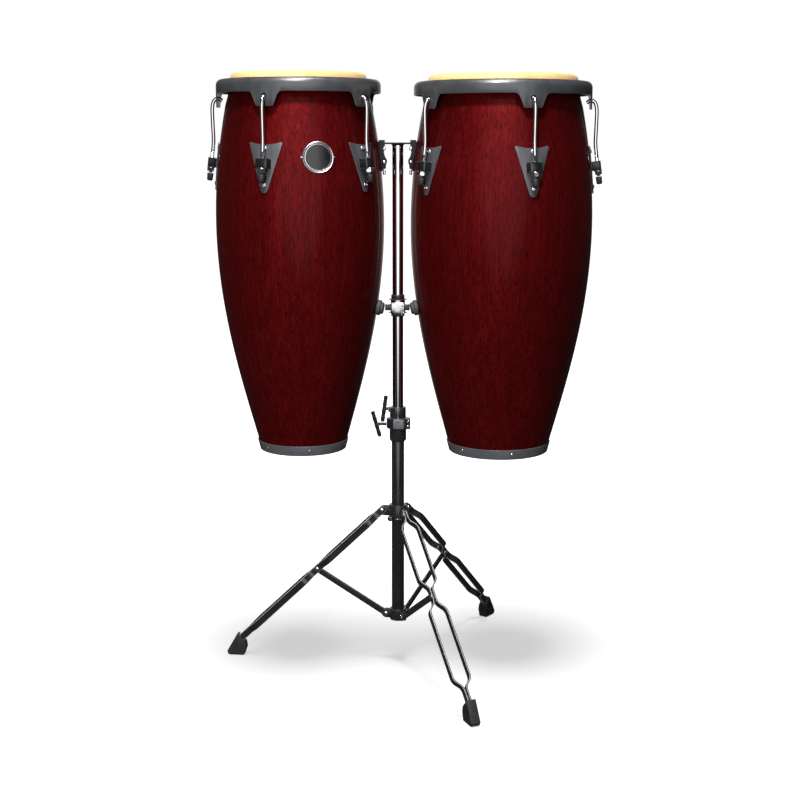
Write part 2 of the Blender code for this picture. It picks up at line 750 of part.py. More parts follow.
def support_clamp_mesh():
    """Clamp about the post, with its middle at height zero."""
    section = list(SUPPORT_SECTION)
    section += [(POST_BORE, section[-1][1]), (POST_BORE, section[0][1])]
    rings = turned(section, TUBE_STEPS)
    block = rounded(box(*SUPPORT_BLOCK), SUPPORT_ROUNDING, 1)
    bottom, top = ARM_RISE - ARM_HALF_HEIGHT, ARM_RISE + ARM_HALF_HEIGHT
    arm = box((ARM_LEFT_END, ARM_FRONT, bottom), (ARM_RIGHT_END, ARM_BACK, top))
    high = section[0][1] + OVERLAP
    bore = cylinder((0, 0, -high), (0, 0, high), POST_BORE, TUBE_STEPS)
    return cut(union(rings, block, rounded(arm, SUPPORT_ROUNDING, 1)), bore)


def bumper_mesh():
    """Bumper about its own Z axis, with its face at zero and its back below."""
    return turned(list(BUMPER_PROFILE), TUBE_STEPS, closed=False)


def bumper_place(drum):
    """Where a bumper rests square on the shell, towards the player's side, from the post's axis."""
    floor_height = SUPPORT_Z + ARM_RISE
    height = floor_height - drum["bottom_z"]
    reach = drum["head_radius"] + shell_reach(height)
    towards_post = -1.0 if drum["axis_x"] > 0 else 1.0
    angle = math.radians(BUMPER_ANGLE)
    out = Vector((towards_post * math.cos(angle), -math.sin(angle), -shell_slope(height)))
    out.normalize()
    touch = Vector((drum["axis_x"], 0.0, floor_height)) + Vector((
        towards_post * math.cos(angle) * reach, -math.sin(angle) * reach, 0.0))
    place = Matrix.Translation(touch + out * 2 * GAP)
    return place @ (-out).to_track_quat("Z", "Y").to_matrix().to_4x4()


def height_clamp_mesh():
    sleeve = turned(list(CLAMP_SECTION), TUBE_STEPS)
    low, high = CLAMP_BAND_Z
    band = placed(outline_solid([CLAMP_BAND], high - low), Matrix.Translation((0, 0, (low + high) / 2)))
    step = CLAMP_SECTION[4][1]
    bore = cylinder((0, 0, low - OVERLAP), (0, 0, step), CLAMP_BORE, TUBE_STEPS)
    narrow = cylinder((0, 0, low), (0, 0, high + OVERLAP), POST_BORE, TUBE_STEPS)
    return cut(union(sleeve, band), bore, narrow)


def memory_lock_mesh():
    ring = turned(list(LOCK_SECTION), TUBE_STEPS)
    boss = box(*LOCK_BOSS)
    high, low = LOCK_SECTION[0][1], LOCK_SECTION[1][1]
    bore = cylinder((0, 0, low - OVERLAP), (0, 0, high + OVERLAP), POST_BORE, TUBE_STEPS)
    return cut(union(ring, boss), bore)


def t_bolt_mesh(bolt):
    """T-bolt along -X from its seat at the origin."""
    length = bolt["seat_x"] - bolt["end_x"]
    rod = cylinder((0, 0, 0), (-length, 0, 0), T_ROD_RADIUS, SMALL_STEPS)
    lean = math.radians(bolt["lean"])
    way = Vector((math.sin(lean), 0.0, math.cos(lean)))
    middle = Vector((-length + T_BAR_RADIUS, 0.0, 0.0))
    bar = cylinder(middle - way * T_BAR_HALF, middle + way * T_BAR_HALF, T_BAR_RADIUS, T_BAR_SIDES)
    return union(rod, rounded(bar, T_BAR_ROUNDING, 1, T_BAR_END_ANGLE))


def build_post(assembly, frame):
    assembly.add("lower_tube", lower_tube_mesh(), "tube_black", frame)
    assembly.add("upper_post", upper_post_mesh(), "post_chrome", frame)
    assembly.add("height_clamp", height_clamp_mesh(), "clamp_black", frame)
    assembly.add("memory_lock", memory_lock_mesh(), "clamp_black", frame)
    for bolt in (UPPER_T, LOWER_T):
        place = Matrix.Translation((bolt["seat_x"], 0.0, bolt["z"]))
        assembly.add(bolt["name"], t_bolt_mesh(bolt), "t_bolt_black", frame, place)
    clamp_place = Matrix.Translation((0.0, 0.0, SUPPORT_Z))
    assembly.add("support_clamp", support_clamp_mesh(), "clamp_chrome", frame, clamp_place)
    for drum in (LEFT_DRUM, RIGHT_DRUM):
        name = f"{drum['side']}_bumper"
        assembly.add(name, bumper_mesh(), "bumper_rubber", frame, bumper_place(drum))


# ---------------------------------------------------------------- tripod

def leg_length():
    return math.dist(LEG_PIVOT, LEG_END)


def leg_tilt():
    """Angle between the leg and straight down, in radians."""
    return math.atan2(LEG_END[0] - LEG_PIVOT[0], LEG_PIVOT[1] - LEG_END[1])


def brace_joint():
    """The brace's pivot on the leg, as (distance from the tube's axis, height)."""
    along = BRACE_JOINT_DISTANCE / leg_length()
    return tuple(top + (end - top) * along for top, end in zip(LEG_PIVOT, LEG_END))


def strap_path():
    """One strap seen edge-on: distance down the leg and offset from the leg's middle."""
    joint = BRACE_JOINT_DISTANCE
    closed, spread = STRAP_CLOSED, STRAP_SPREAD
    end = leg_length()
    return [
        (-STRAP_TOP, closed), (PINCH_HALF, closed), (PINCH_HALF + STRAP_BEND, spread),
        (joint - PINCH_HALF - STRAP_BEND, spread), (joint - PINCH_HALF, closed),
        (joint + PINCH_HALF, closed), (joint + PINCH_HALF + STRAP_BEND, spread),
        (end - FOOT_PINCH, spread), (end - FOOT_PINCH + STRAP_BEND, closed), (end, closed),
    ]


def offset_path(path, distance):
    """The path moved sideways, with corners that keep the distance."""
    moved = []
    for i, (x, y) in enumerate(path):
        before = path[max(i - 1, 0)]
        after = path[min(i + 1, len(path) - 1)]
        into = (Vector((x, y)) - Vector(before)).normalized() if i > 0 else None
        out = (Vector(after) - Vector((x, y))).normalized() if i < len(path) - 1 else None
        into = into or out
        out = out or into
        side_in = Vector((-into.y, into.x))
        side_out = Vector((-out.y, out.x))
        mitre = (side_in + side_out).normalized()
        scale = distance / max(mitre.dot(side_in), 0.5)
        moved.append((x + mitre.x * scale, y + mitre.y * scale))
    return moved


def leg_mesh():
    """Leg about its pivot, running down -Z: two straps and the rivets that hold them together."""
    path = strap_path()
    half = STRAP_THICKNESS / 2
    outline = offset_path(path, half) + list(reversed(offset_path(path, -half)))
    side = Matrix(((0, 1, 0, 0), (0, 0, -1, 0), (-1, 0, 0, 0), (0, 0, 0, 1)))
    near = placed(outline_solid([outline], STRAP_WIDTH), side)
    far = placed(outline_solid([[(s, -w) for s, w in outline]], STRAP_WIDTH), side)
    grip = STRAP_CLOSED + half / 2
    pivot_rivet = cylinder((-grip, 0, 0), (grip, 0, 0), RIVET_RADIUS, SMALL_STEPS)
    foot_end = -(leg_length() - FOOT_RIVET)
    foot_rivet = cylinder((-grip, 0, foot_end), (grip, 0, foot_end), RIVET_RADIUS, SMALL_STEPS)
    return union(near, pivot_rivet, foot_rivet, far)


def brace_mesh():
    """Brace about its lower pivot, running up +Z, with an eye at each end."""
    length = math.dist(BRACE_PIVOT, brace_joint())
    outline = arc((0.0, 0.0), BRACE_HALF_WIDTH, 180.0, 360.0, 6)
    outline += arc((0.0, length), BRACE_HALF_WIDTH, 0.0, 180.0, 6)
    eyes = []
    for centre in (0.0, length):
        eyes.append(arc((0.0, centre), BRACE_HOLE, 0.0, 315.0, 7))
    return placed(outline_solid([outline, *eyes], BRACE_THICKNESS), side_view())


def brace_tilt():
    """Angle between the brace and straight up, in radians."""
    joint = brace_joint()
    return math.atan2(joint[0] - BRACE_PIVOT[0], joint[1] - BRACE_PIVOT[1])


def radial_box(low, high, inner, outer):
    """A box that stands out towards -Y, between two distances from the leg's plane."""
    (r_low, z_low), (r_high, z_high) = low, high
    return box((inner, -r_high, z_low), (outer, -r_low, z_high))


def leg_collar_mesh():
    bottom, top = COLLAR_Z
    section = [(COLLAR_RADIUS, top), (COLLAR_RADIUS, bottom), (CLAMP_BORE, bottom), (CLAMP_BORE, top)]
    ring = turned(section, TUBE_STEPS)
    holes = []
    for angle in LEG_ANGLES:
        turn = turn_about_z(angle)
        tab = radial_box(*COLLAR_TAB, -COLLAR_TAB_HALF, COLLAR_TAB_HALF)
        ring = union(ring, placed(tab, turn))
        y, z = -LEG_PIVOT[0], LEG_PIVOT[1]
        reach = COLLAR_TAB_HALF + OVERLAP
        holes.append(placed(cylinder((-reach, y, z), (reach, y, z), RIVET_HOLE, SMALL_STEPS), turn))
    return cut(ring, together(holes))


def lower_hub_mesh():
    bottom, top = HUB_Z
    profile = [
        (0.0, bottom - 2 * GAP), (CLAMP_BORE, bottom - 2 * GAP), (CLAMP_BORE, top), (HUB_RADIUS, top),
        (HUB_RADIUS, HUB_FLOOR), (0.0, HUB_FLOOR),
    ]
    hub = turned(profile, TUBE_STEPS, closed=False)
    inner = BRACE_THICKNESS / 2 + GAP
    outer = inner + HUB_EAR_THICKNESS
    for angle in LEG_ANGLES:
        turn = turn_about_z(angle)
        for low, high in ((-outer, -inner), (inner, outer)):
            hub = union(hub, placed(radial_box(*HUB_EAR, low, high), turn))
        y, z = -BRACE_PIVOT[0], BRACE_PIVOT[1]
        grip = outer - HUB_EAR_THICKNESS / 2
        pin = cylinder((-grip, y, z), (grip, y, z), BRACE_PIN_RADIUS, SMALL_STEPS)
        hub = union(hub, placed(pin, turn))
    return hub


def foot_mesh():
    """Rubber boot in the leg's plane, measured from the tube's axis and the floor."""
    boot = placed(outline_solid([FOOT_OUTLINE], 2 * FOOT_HALF_WIDTH), side_view())
    boot = rounded(boot, FOOT_ROUNDING, 1)
    half_gap = STRAP_CLOSED + STRAP_THICKNESS / 2 + GAP
    half_width = STRAP_WIDTH / 2 + GAP
    pocket = box((-half_gap, -half_width, -GAP), (half_gap, half_width, FOOT_POCKET_TOP))
    place = Matrix.Translation((0.0, -LEG_END[0], LEG_END[1])) @ Matrix.Rotation(-leg_tilt(), 4, "X")
    return cut(boot, placed(pocket, place))


def build_tripod(assembly, frame):
    assembly.add("leg_collar", leg_collar_mesh(), "clamp_black", frame)
    assembly.add("lower_hub", lower_hub_mesh(), "clamp_black", frame)
    leg = leg_mesh()
    brace = brace_mesh()
    foot = foot_mesh()
    for number, angle in enumerate(LEG_ANGLES, start=1):
        turn = turn_about_z(angle)
        leg_place = Matrix.Translation((0.0, -LEG_PIVOT[0], LEG_PIVOT[1]))
        leg_turn = Matrix.Rotation(-leg_tilt(), 4, "X")
        assembly.add(f"leg_{number}", leg, "strap_black", frame, turn @ leg_place @ leg_turn)
        brace_place = Matrix.Translation((0.0, -BRACE_PIVOT[0], BRACE_PIVOT[1]))
        brace_turn = Matrix.Rotation(brace_tilt(), 4, "X")
        assembly.add(f"brace_{number}", brace, "strap_black", frame, turn @ brace_place @ brace_turn)
        assembly.add(f"foot_{number}", foot, "foot_rubber", frame, turn)


def main():
    clear_scene()
    assembly = Assembly()
    stand = assembly.empty("stand_frame", (POST_X, POST_Y, 0.0))
    build_drum(assembly, LEFT_DRUM)
    build_drum(assembly, RIGHT_DRUM)
    build_post(assembly, stand)
    build_tripod(assembly, stand)
    bpy.context.view_layer.update()


main()
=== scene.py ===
"""The looks of the two conga drums on their double stand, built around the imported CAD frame.

Sizes are in metres. Each drum is drawn in its own frame, with the origin on its axis at the
bottom of the shell, and each piece of the stand in the frame of the post, at floor height.
Pieces that repeat around an axis are drawn once, facing -Y, and turned into place. Angles
around an axis are measured from -Y, positive towards +X.
"""

import json
import math

import bmesh
import bpy
from mathutils import Matrix, Vector


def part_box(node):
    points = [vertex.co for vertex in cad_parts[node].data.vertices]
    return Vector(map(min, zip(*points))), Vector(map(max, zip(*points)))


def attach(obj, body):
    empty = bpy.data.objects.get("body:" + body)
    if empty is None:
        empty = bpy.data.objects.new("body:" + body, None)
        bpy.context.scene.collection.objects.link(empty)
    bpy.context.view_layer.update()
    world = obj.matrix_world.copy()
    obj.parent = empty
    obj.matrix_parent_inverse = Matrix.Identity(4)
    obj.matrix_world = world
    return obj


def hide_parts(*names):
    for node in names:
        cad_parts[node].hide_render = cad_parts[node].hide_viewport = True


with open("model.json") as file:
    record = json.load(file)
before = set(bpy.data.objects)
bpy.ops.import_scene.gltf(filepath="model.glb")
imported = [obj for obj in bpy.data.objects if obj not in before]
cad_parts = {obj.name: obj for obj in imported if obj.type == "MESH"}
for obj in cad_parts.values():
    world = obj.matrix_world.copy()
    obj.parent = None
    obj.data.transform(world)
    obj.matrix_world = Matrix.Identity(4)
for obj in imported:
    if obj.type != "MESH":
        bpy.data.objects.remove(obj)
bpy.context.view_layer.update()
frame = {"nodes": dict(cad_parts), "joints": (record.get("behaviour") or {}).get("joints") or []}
JOINTS = {joint["name"]: joint for joint in frame["joints"]}

# ---------------------------------------------------------------- driving dimensions

GAP = 0.0003

# Shell: reach beyond the head's radius, as a curve of the height above its bottom
SHELL_WALL = 0.0110
BELLY_HEIGHT = 0.440
BELLY_SWELL = 0.0338
BELLY_CURVE = 0.4987
BELLY_RELIEF = 0.4838
SHELL_TOP = 0.660
BEARING_EDGE = (
    (0.0035, 0.6850), (0.0005, 0.7020), (-0.0006, 0.7090), (-0.0018, 0.7140), (-0.0032, 0.7158),
    (-0.0050, 0.7165), (-0.0075, 0.7150), (-0.0085, 0.7125),
)
SHELL_STEPS = 144
SHELL_ROWS = 44

# Bottom ring
RING_TOP = 0.0175
RING_BOTTOM = -0.0025
RING_SCREWS = 6
RING_SCREW_Z = 0.0088

# Head: the hoop at its edge reaches this far beyond the head's radius
HOOP_REACH = 0.0080
SKIN_TOP = 0.7183
SKIN_THICKNESS = 0.0013

# Rim
RIM_REACH = 0.0280
BAND_BOTTOM = 0.6805
EAR_BOTTOM = 0.6545
EAR_REACH = 0.0355
# One side of an ear: half its width and height, from its bottom up to the band
EAR_SIDE = (
    (0.0000, EAR_BOTTOM), (0.0152, EAR_BOTTOM), (0.0163, 0.6548), (0.0171, 0.6557), (0.0181, 0.6580),
    (0.0207, 0.6640), (0.0236, 0.6710), (0.0245, 0.6730), (0.0257, 0.6751), (0.0272, 0.6770),
    (0.0291, 0.6786), (0.0312, 0.6797), (0.0332, 0.6803), (EAR_REACH, BAND_BOTTOM),
)
# Rim section: reach beyond the head's radius with the height, over the crown and back inside.
# The lip's heights count from the lower edge, which dips along the ears.
RIM_CROWN = (
    (0.0034, 0.7046), (0.0040, 0.7051), (0.0190, 0.7056), (0.0215, 0.7050), (0.0243, 0.7031),
    (0.0262, 0.7008), (0.0274, 0.6982), (RIM_REACH, 0.6950),
)
RIM_LIP = (
    (RIM_REACH, 0.0008), (0.0277, 0.0002), (0.0270, 0.0), (0.0262, 0.0), (0.0255, 0.0002), (0.0252, 0.0008),
)
RIM_INSIDE = (
    (0.0252, 0.6955), (0.0240, 0.6985), (0.0205, 0.7012), (0.0095, 0.7014), (0.0078, 0.7000),
    (0.0068, 0.6960), (0.0038, 0.6960),
)
LUG_PITCH = 72.0
HOOK_HOLE_Z = 0.6720
HOOK_HOLE_RADIUS = 0.00525
HOOK_SLOT_HALF = 0.0025

# Lugs
LUG_Z = 0.55325
LUG_REACH = 0.0411
LUG_SLOPE = 0.1333
LUG_TILT = Matrix.Rotation(-math.atan(LUG_SLOPE), 4, "X")
PLATE_MIDDLE = 0.5455
PLATE_THICKNESS = 0.0020
BLOCK_HEIGHT = 0.0175
BLOCK_STANDS_OUT = 0.0015
SCREW_HEIGHTS = (0.5800, 0.5140)

# Badge: shares of its half size with how far each step stands out from the shell
BADGE_Z = 0.5640
BADGE_ANGLE = 16.9
BADGE_HALF_WIDTH, BADGE_HALF_HEIGHT = 0.0290, 0.0285
BADGE_STEPS = 72
BADGE_RING = (
    (1.0, 0.0003), (1.0, 0.0012), (0.985, 0.0019), (0.955, 0.0023), (0.925, 0.0019), (0.905, 0.0012),
    (0.905, 0.0003),
)
BADGE_LINE = (
    (0.845, 0.0004), (0.845, 0.0014), (0.835, 0.0018), (0.810, 0.0018), (0.800, 0.0014), (0.800, 0.0004),
)
BADGE_FACE = ((0.90, 0.0003), (0.90, 0.0011), (0.6, 0.0012), (0.3, 0.0012), (0.02, 0.0012))
BADGE_PIN = ((0.0, 0.0011), (0.0010, 0.0009), (0.0016, 0.0), (0.0016, -0.0010), (0.0, -0.0010))
BADGE_PIN_SHARE = 1.04

# Bracket: heights of its bolts above the floor, and shares of its height for the side bolts
BRACKET_THICKNESS = 0.0042
BRACKET_BOLT_HEIGHTS = (1.0175, 0.9920)
BRACKET_SIDE_SHARES = (0.30, 0.72)
BRACKET_EDGE = 0.0050

# Hook rods: reach beyond the head's radius and height above the shell's bottom
ROD_RADIUS = 0.00365
ROD_BEND = (
    (0.0190, 0.6675), (0.0225, 0.6705), (0.0266, 0.6715), (0.0308, 0.6700), (0.0342, 0.6664),
    (0.0364, 0.6600), (0.0373, 0.6530), (0.0375, 0.6450), (0.0369, 0.6200), (0.0363, 0.5955),
    (0.0373, 0.5815),
)
THREAD_TOP = 0.5735
THREAD_END = 0.5325
THREAD_PITCH = 0.00115
THREAD_DEPTH = 0.00030
CAP_BOTTOM = 0.5181
CAP_RADIUS = 0.0060

# Stand
BAR_BOTTOM, BAR_TOP = 1.0352, 1.0385
BAR_HALF_DEPTH = 0.0155
BAR_CORNER = 0.004
BAR_HOLE_RADIUS, BAR_HOLE_IN = 0.0028, 0.004
POST_RADIUS = 0.0106
POST_WALL = 0.0015
POST_BORE = 0.0109
POST_BOTTOM = 0.3300
TUBE_RADIUS = 0.0124
TUBE_BORE = 0.0109
TUBE_BOTTOM, TUBE_TOP = 0.0915, 0.5000
SUPPORT_Z = 0.7240
ARM_RISE = 0.0030

# Tripod, in the plane of a leg: distance from the post's axis and height
LEG_PIVOT = (0.0325, 0.3160)
LEG_END = (0.3300, 0.0301)
BRACE_JOINT_DISTANCE = 0.1838
BRACE_PIVOT = (0.0245, 0.1002)
STRAP_THICKNESS = 0.0026
STRAP_WIDTH = 0.0142
STRAP_CLOSED = 0.0029
STRAP_SPREAD = 0.0175
STRAP_BEND = 0.0150
STRAP_TOP = 0.0090
STRAP_ROUND = 0.0075
PINCH_HALF = 0.0165
FOOT_PINCH = 0.0530

# Clamps and fittings of the stand
CLAMP_BOTTOM, CLAMP_TOP = 0.4585, 0.5060
CLAMP_BORE_TOP = 0.5010
CLAMP_BAND = (0.4850, 0.5050)
CLAMP_SCREW_HEIGHTS = (0.4905, 0.5000)
LOCK_BOTTOM, LOCK_TOP = 0.5070, 0.5270
COLLAR_BOTTOM, COLLAR_TOP = 0.2980, 0.3290
COLLAR_BOLT_Z = 0.3045
COLLAR_BOLT_ANGLE = -38.0
HUB_TOP = 0.1120
PIN_RADIUS, PIN_HEAD_RADIUS, PIN_HEAD_HEIGHT = 0.0030, 0.0054, 0.0022
HUB_PIN_RADIUS, HUB_PIN_HEAD_RADIUS, HUB_PIN_HEAD_HEIGHT = 0.0027, 0.0052, 0.0020
HUB_EAR_INSIDE, HUB_EAR_OUTSIDE = 0.0016, 0.0046
# Half the thickness of a brace or tab; reach from the axis (near, far) and height (low, high) of a plate
BAR_HALF = 0.0013
BRACE_HALF_WIDTH = 0.0065
COLLAR_TAB = (0.0140, 0.0385, 0.3050, 0.3265)
HUB_EAR = (0.0140, 0.0325, 0.0920, 0.1100)

# T-bolts: the thread's crest and root, and the twisted square bar across its end
T_PITCH = 0.0012
T_CREST, T_ROOT = 0.0032, 0.0028
T_BAR_HALF = 0.0265
T_BAR_RADIUS = 0.0042
T_BAR_END = 0.0016
T_BAR_TWIST = 330.0
LOCK_BOLT_LENGTH, LOCK_BOLT_LEAN = 0.0119, 8.0
CLAMP_BOLT_LENGTH, CLAMP_BOLT_LEAN = 0.0242, -16.0

ROUND_STEPS = 64
SMALL_STEPS = 24
SHARP_ANGLE = 34.0

# Camera, from the post's foot, and its turn in degrees
CAMERA_PLACE = (0.0142, -2.624, 1.043)
CAMERA_TURN = (79.16, 0.0, 0.22)
CAMERA_LENS = 61.1

# Lamps for the drums alone: place, target, size, power, and whether reflections see them
OBJECT_LIGHTS = {
    "key": ((-0.25, -2.0, 3.6), (0.0, 0.0, 0.85), 0.7, 140.0, True),
    "low_key": ((-0.9, -3.0, 1.0), (-0.1, 0.0, 0.5), 0.9, 85.0, False),
    "back": ((0.7, 2.8, 2.4), (0.0, 0.0, 0.7), 1.0, 42.0, False),
}
# The lamp that also lights the floor and casts the shadows on it
OVERHEAD_LIGHT = ((0.0, -0.8, 8.0), (0.0, 0.0, 0.0), 2.3, 430.0, True)
# Reflection cards: centre, width, height and strength; they face the middle of the drums
CARDS = {
    "front_card": ((0.1, -3.3, 1.6), 5.4, 4.6, 1.5),
    "back_card": ((0.0, 3.2, 1.1), 3.8, 4.6, 0.9),
}
CARD_TARGET = (0.0, 0.0, 0.8)
WORLD_SEEN, WORLD_DIFFUSE, WORLD_GLOSSY = 1.0, 0.10, 0.04
# The floor glows from one strength to another between two distances from the middle
FLOOR_GLOW_SPAN = (0.45, 1.35)
FLOOR_GLOW = (0.54, 1.0)


# ---------------------------------------------------------------- materials

class Finish:
    """A material while it is put together from nodes."""

    def __init__(self, name):
        self.material = bpy.data.materials.new(name)
        self.material.use_nodes = True
        self.tree = self.material.node_tree
        self.shader = self.tree.nodes["Principled BSDF"]
        self.place = self.add("ShaderNodeTexCoord").outputs["Object"]

    def add(self, kind, **settings):
        node = self.tree.nodes.new(kind)
        for key, value in settings.items():
            setattr(node, key, value)
        return node

    def join(self, source, target):
        self.tree.links.new(source, target)

    def fill(self, node, values):
        """Gives a node's inputs their numbers, or joins them to another node's output."""
        for key, value in values.items():
            if isinstance(value, bpy.types.NodeSocket):
                self.join(value, node.inputs[key])
            else:
                node.inputs[key].default_value = value
        return node

    def mapped(self, scale, location=(0.0, 0.0, 0.0)):
        node = self.add("ShaderNodeMapping")
        self.fill(node, {"Vector": self.place, "Location": location, "Scale": scale})
        return node.outputs["Vector"]

    def noise(self, scale, detail=4.0, roughness=0.55, distortion=0.0):
        values = {"Vector": self.mapped(scale), "Scale": 1.0, "Detail": detail}
        values |= {"Roughness": roughness, "Distortion": distortion}
        return self.fill(self.add("ShaderNodeTexNoise"), values).outputs["Fac"]

    def span(self, value, low, high, new_low=0.0, new_high=1.0):
        node = self.add("ShaderNodeMapRange")
        self.fill(node, {"Value": value, "From Min": low, "From Max": high})
        self.fill(node, {"To Min": new_low, "To Max": new_high})
        return node.outputs["Result"]

    def maths(self, operation, first, second=0.0):
        node = self.add("ShaderNodeMath", operation=operation)
        return self.fill(node, {0: first, 1: second}).outputs["Value"]

    def colours(self, value, *stops):
        node = self.add("ShaderNodeValToRGB")
        ramp = node.color_ramp
        while len(ramp.elements) < len(stops):
            ramp.elements.new(0.5)
        for element, (position, colour) in zip(ramp.elements, stops):
            element.position = position
            element.color = (*colour, 1.0)
        self.join(value, node.inputs["Fac"])
        return node.outputs["Color"]

    def mix(self, factor, first, second, blend="MIX"):
        node = self.add("ShaderNodeMix", data_type="RGBA", blend_type=blend)
        for index, value in ((0, factor), (6, first), (7, second)):
            if isinstance(value, bpy.types.NodeSocket):
                self.join(value, node.inputs[index])
            elif index == 0:
                node.inputs[index].default_value = value
            else:
                node.inputs[index].default_value = (*value, 1.0)
        return node.outputs[2]

    def bump(self, height, distance, strength=1.0, below=None):
        node = self.add("ShaderNodeBump")
        self.fill(node, {"Height": height, "Distance": distance, "Strength": strength})
        if below is not None:
            self.join(below, node.inputs["Normal"])
        return node.outputs["Normal"]

    def edge_mask(self, radius):
        """How far a point is from level: near 1 on edges that stand out, 0 on flat faces."""
        bevel = self.add("ShaderNodeBevel", samples=4)
        bevel.inputs["Radius"].default_value = radius
        normal = self.add("ShaderNodeNewGeometry").outputs["Normal"]
        node = self.add("ShaderNodeVectorMath", operation="DOT_PRODUCT")
        self.join(bevel.outputs["Normal"], node.inputs[0])
        self.join(normal, node.inputs[1])
        return self.span(node.outputs["Value"], 0.995, 0.90)

    def done(self, **values):
        names = {
            "colour": "Base Color", "metallic": "Metallic", "roughness": "Roughness", "normal": "Normal",
            "coat": "Coat Weight", "coat_roughness": "Coat Roughness", "coat_ior": "Coat IOR",
            "coat_normal": "Coat Normal", "ior": "IOR", "specular": "Specular IOR Level",
            "sheen": "Sheen Weight", "subsurface": "Subsurface Weight",
        }
        self.fill(self.shader, {names[key]: value for key, value in values.items()})
        return self.material


def lacquered_wood(name, axis):
    """Vertical staves of open-grained wood, stained dark red under a deep gloss lacquer."""
    finish = Finish(name)
    local = finish.mapped((1.0, 1.0, 1.0), (-axis[0], -axis[1], 0.0))
    parts = finish.add("ShaderNodeSeparateXYZ")
    finish.join(local, parts.inputs["Vector"])
    turn = finish.maths("ARCTAN2", parts.outputs["Y"], parts.outputs["X"])
    stave = finish.maths("FLOOR", finish.maths("MULTIPLY", turn, 22 / math.tau))
    tone = finish.add("ShaderNodeTexWhiteNoise", noise_dimensions="1D")
    finish.join(stave, tone.inputs["W"])
    broad = finish.noise((14.0, 14.0, 1.1), 3.0, 0.5, 0.4)
    streak = finish.noise((150.0, 150.0, 4.0), 5.0, 0.6, 0.25)
    pore = finish.noise((520.0, 520.0, 62.0), 2.0, 0.5)
    stain = finish.colours(
        streak, (0.25, (0.070, 0.0020, 0.0027)), (0.50, (0.118, 0.0040, 0.0048)),
        (0.78, (0.170, 0.0080, 0.0084)),
    )
    deep = finish.mix(finish.span(broad, 0.35, 0.70, 0.0, 0.45), stain, (0.070, 0.0022, 0.0030))
    toned = finish.mix(finish.span(tone.outputs["Value"], 0.0, 1.0, 0.0, 0.26), deep, (0.075, 0.0020, 0.0030))
    pores = finish.span(pore, 0.52, 0.63)
    colour = finish.mix(finish.maths("MULTIPLY", pores, 0.70), toned, (0.030, 0.0010, 0.0014))
    grain = finish.bump(finish.maths("SUBTRACT", streak, pores), 0.00012, 0.45)
    wave = finish.bump(finish.noise((9.0, 9.0, 5.0), 2.0), 0.0006, 0.25)
    return finish.done(
        colour=colour, metallic=0.74, roughness=0.57, normal=grain, specular=0.05,
        coat=0.32, coat_roughness=0.07, coat_ior=1.22, coat_normal=wave,
    )


def rawhide(name):
    """Cream skin with cloudy translucent patches, fine fibres and a few darker flecks."""
    finish = Finish(name)
    cloud = finish.noise((9.0, 9.0, 9.0), 5.0, 0.6, 0.8)
    fibre = finish.noise((60.0, 420.0, 120.0), 4.0, 0.65, 0.6)
    fleck = finish.noise((230.0, 230.0, 230.0), 2.0)
    base = finish.colours(
        cloud, (0.28, (0.62, 0.34, 0.12)), (0.52, (0.73, 0.46, 0.19)), (0.75, (0.78, 0.56, 0.28)),
    )
    lined = finish.mix(finish.span(fibre, 0.40, 0.75, 0.0, 0.35), base, (0.70, 0.52, 0.30))
    colour = finish.mix(finish.span(fleck, 0.68, 0.80, 0.0, 0.45), lined, (0.50, 0.34, 0.17))
    rough = finish.span(cloud, 0.30, 0.75, 0.62, 0.46)
    fine = finish.bump(fibre, 0.00025, 0.5)
    soft = finish.bump(cloud, 0.0008, 0.4, fine)
    return finish.done(colour=colour, roughness=rough, normal=soft, specular=0.35, sheen=0.08)


def coated_metal(name, colour, gloss, rough, grit, wear_and_highlight=0.5):
    """Black coated steel or casting: fine orange peel, cloudy sheen and lighter grey edges, partly worn paint
    and partly a painted highlight.
    """
    finish = Finish(name)
    cloud = finish.noise((35.0, 35.0, 35.0), 4.0)
    peel = finish.noise((900.0, 900.0, 900.0), 3.0)
    light = tuple(min(1.0, part * 2.0 + 0.004) for part in colour)
    tinted = finish.mix(finish.span(cloud, 0.35, 0.75, 0.0, 0.35), colour, light)
    speck = finish.noise((260.0, 260.0, 260.0), 3.0)
    # Lighter grey on the edges, broken up by specks: partly worn paint, partly a painted highlight along the
    # edges.
    wear_and_highlight_mask = finish.maths("MULTIPLY", finish.edge_mask(0.0007), finish.span(speck, 0.35, 0.65, 0.25, 1.0))
    edge = finish.mix(finish.maths("MULTIPLY", wear_and_highlight_mask, wear_and_highlight), tinted, (0.30, 0.31, 0.33))
    roughness = finish.span(cloud, 0.30, 0.75, rough - 0.06, rough + 0.08)
    normal = finish.bump(peel, 0.00008, grit)
    return finish.done(colour=edge, specular=gloss, roughness=roughness, normal=normal)


def chrome(name, tint, rough):
    """Chrome plating with faint smears, fine polishing lines and a few cloudy spots."""
    finish = Finish(name)
    smear = finish.noise((40.0, 40.0, 14.0), 4.0, 0.6, 0.4)
    line = finish.noise((350.0, 350.0, 2400.0), 2.0)
    dull = tuple(part * 0.82 for part in tint)
    colour = finish.mix(finish.span(smear, 0.45, 0.75, 0.0, 0.5), tint, dull)
    roughness = finish.span(smear, 0.35, 0.75, rough, rough + 0.07)
    normal = finish.bump(line, 0.00002, 0.25)
    return finish.done(colour=colour, metallic=1.0, roughness=roughness, normal=normal)


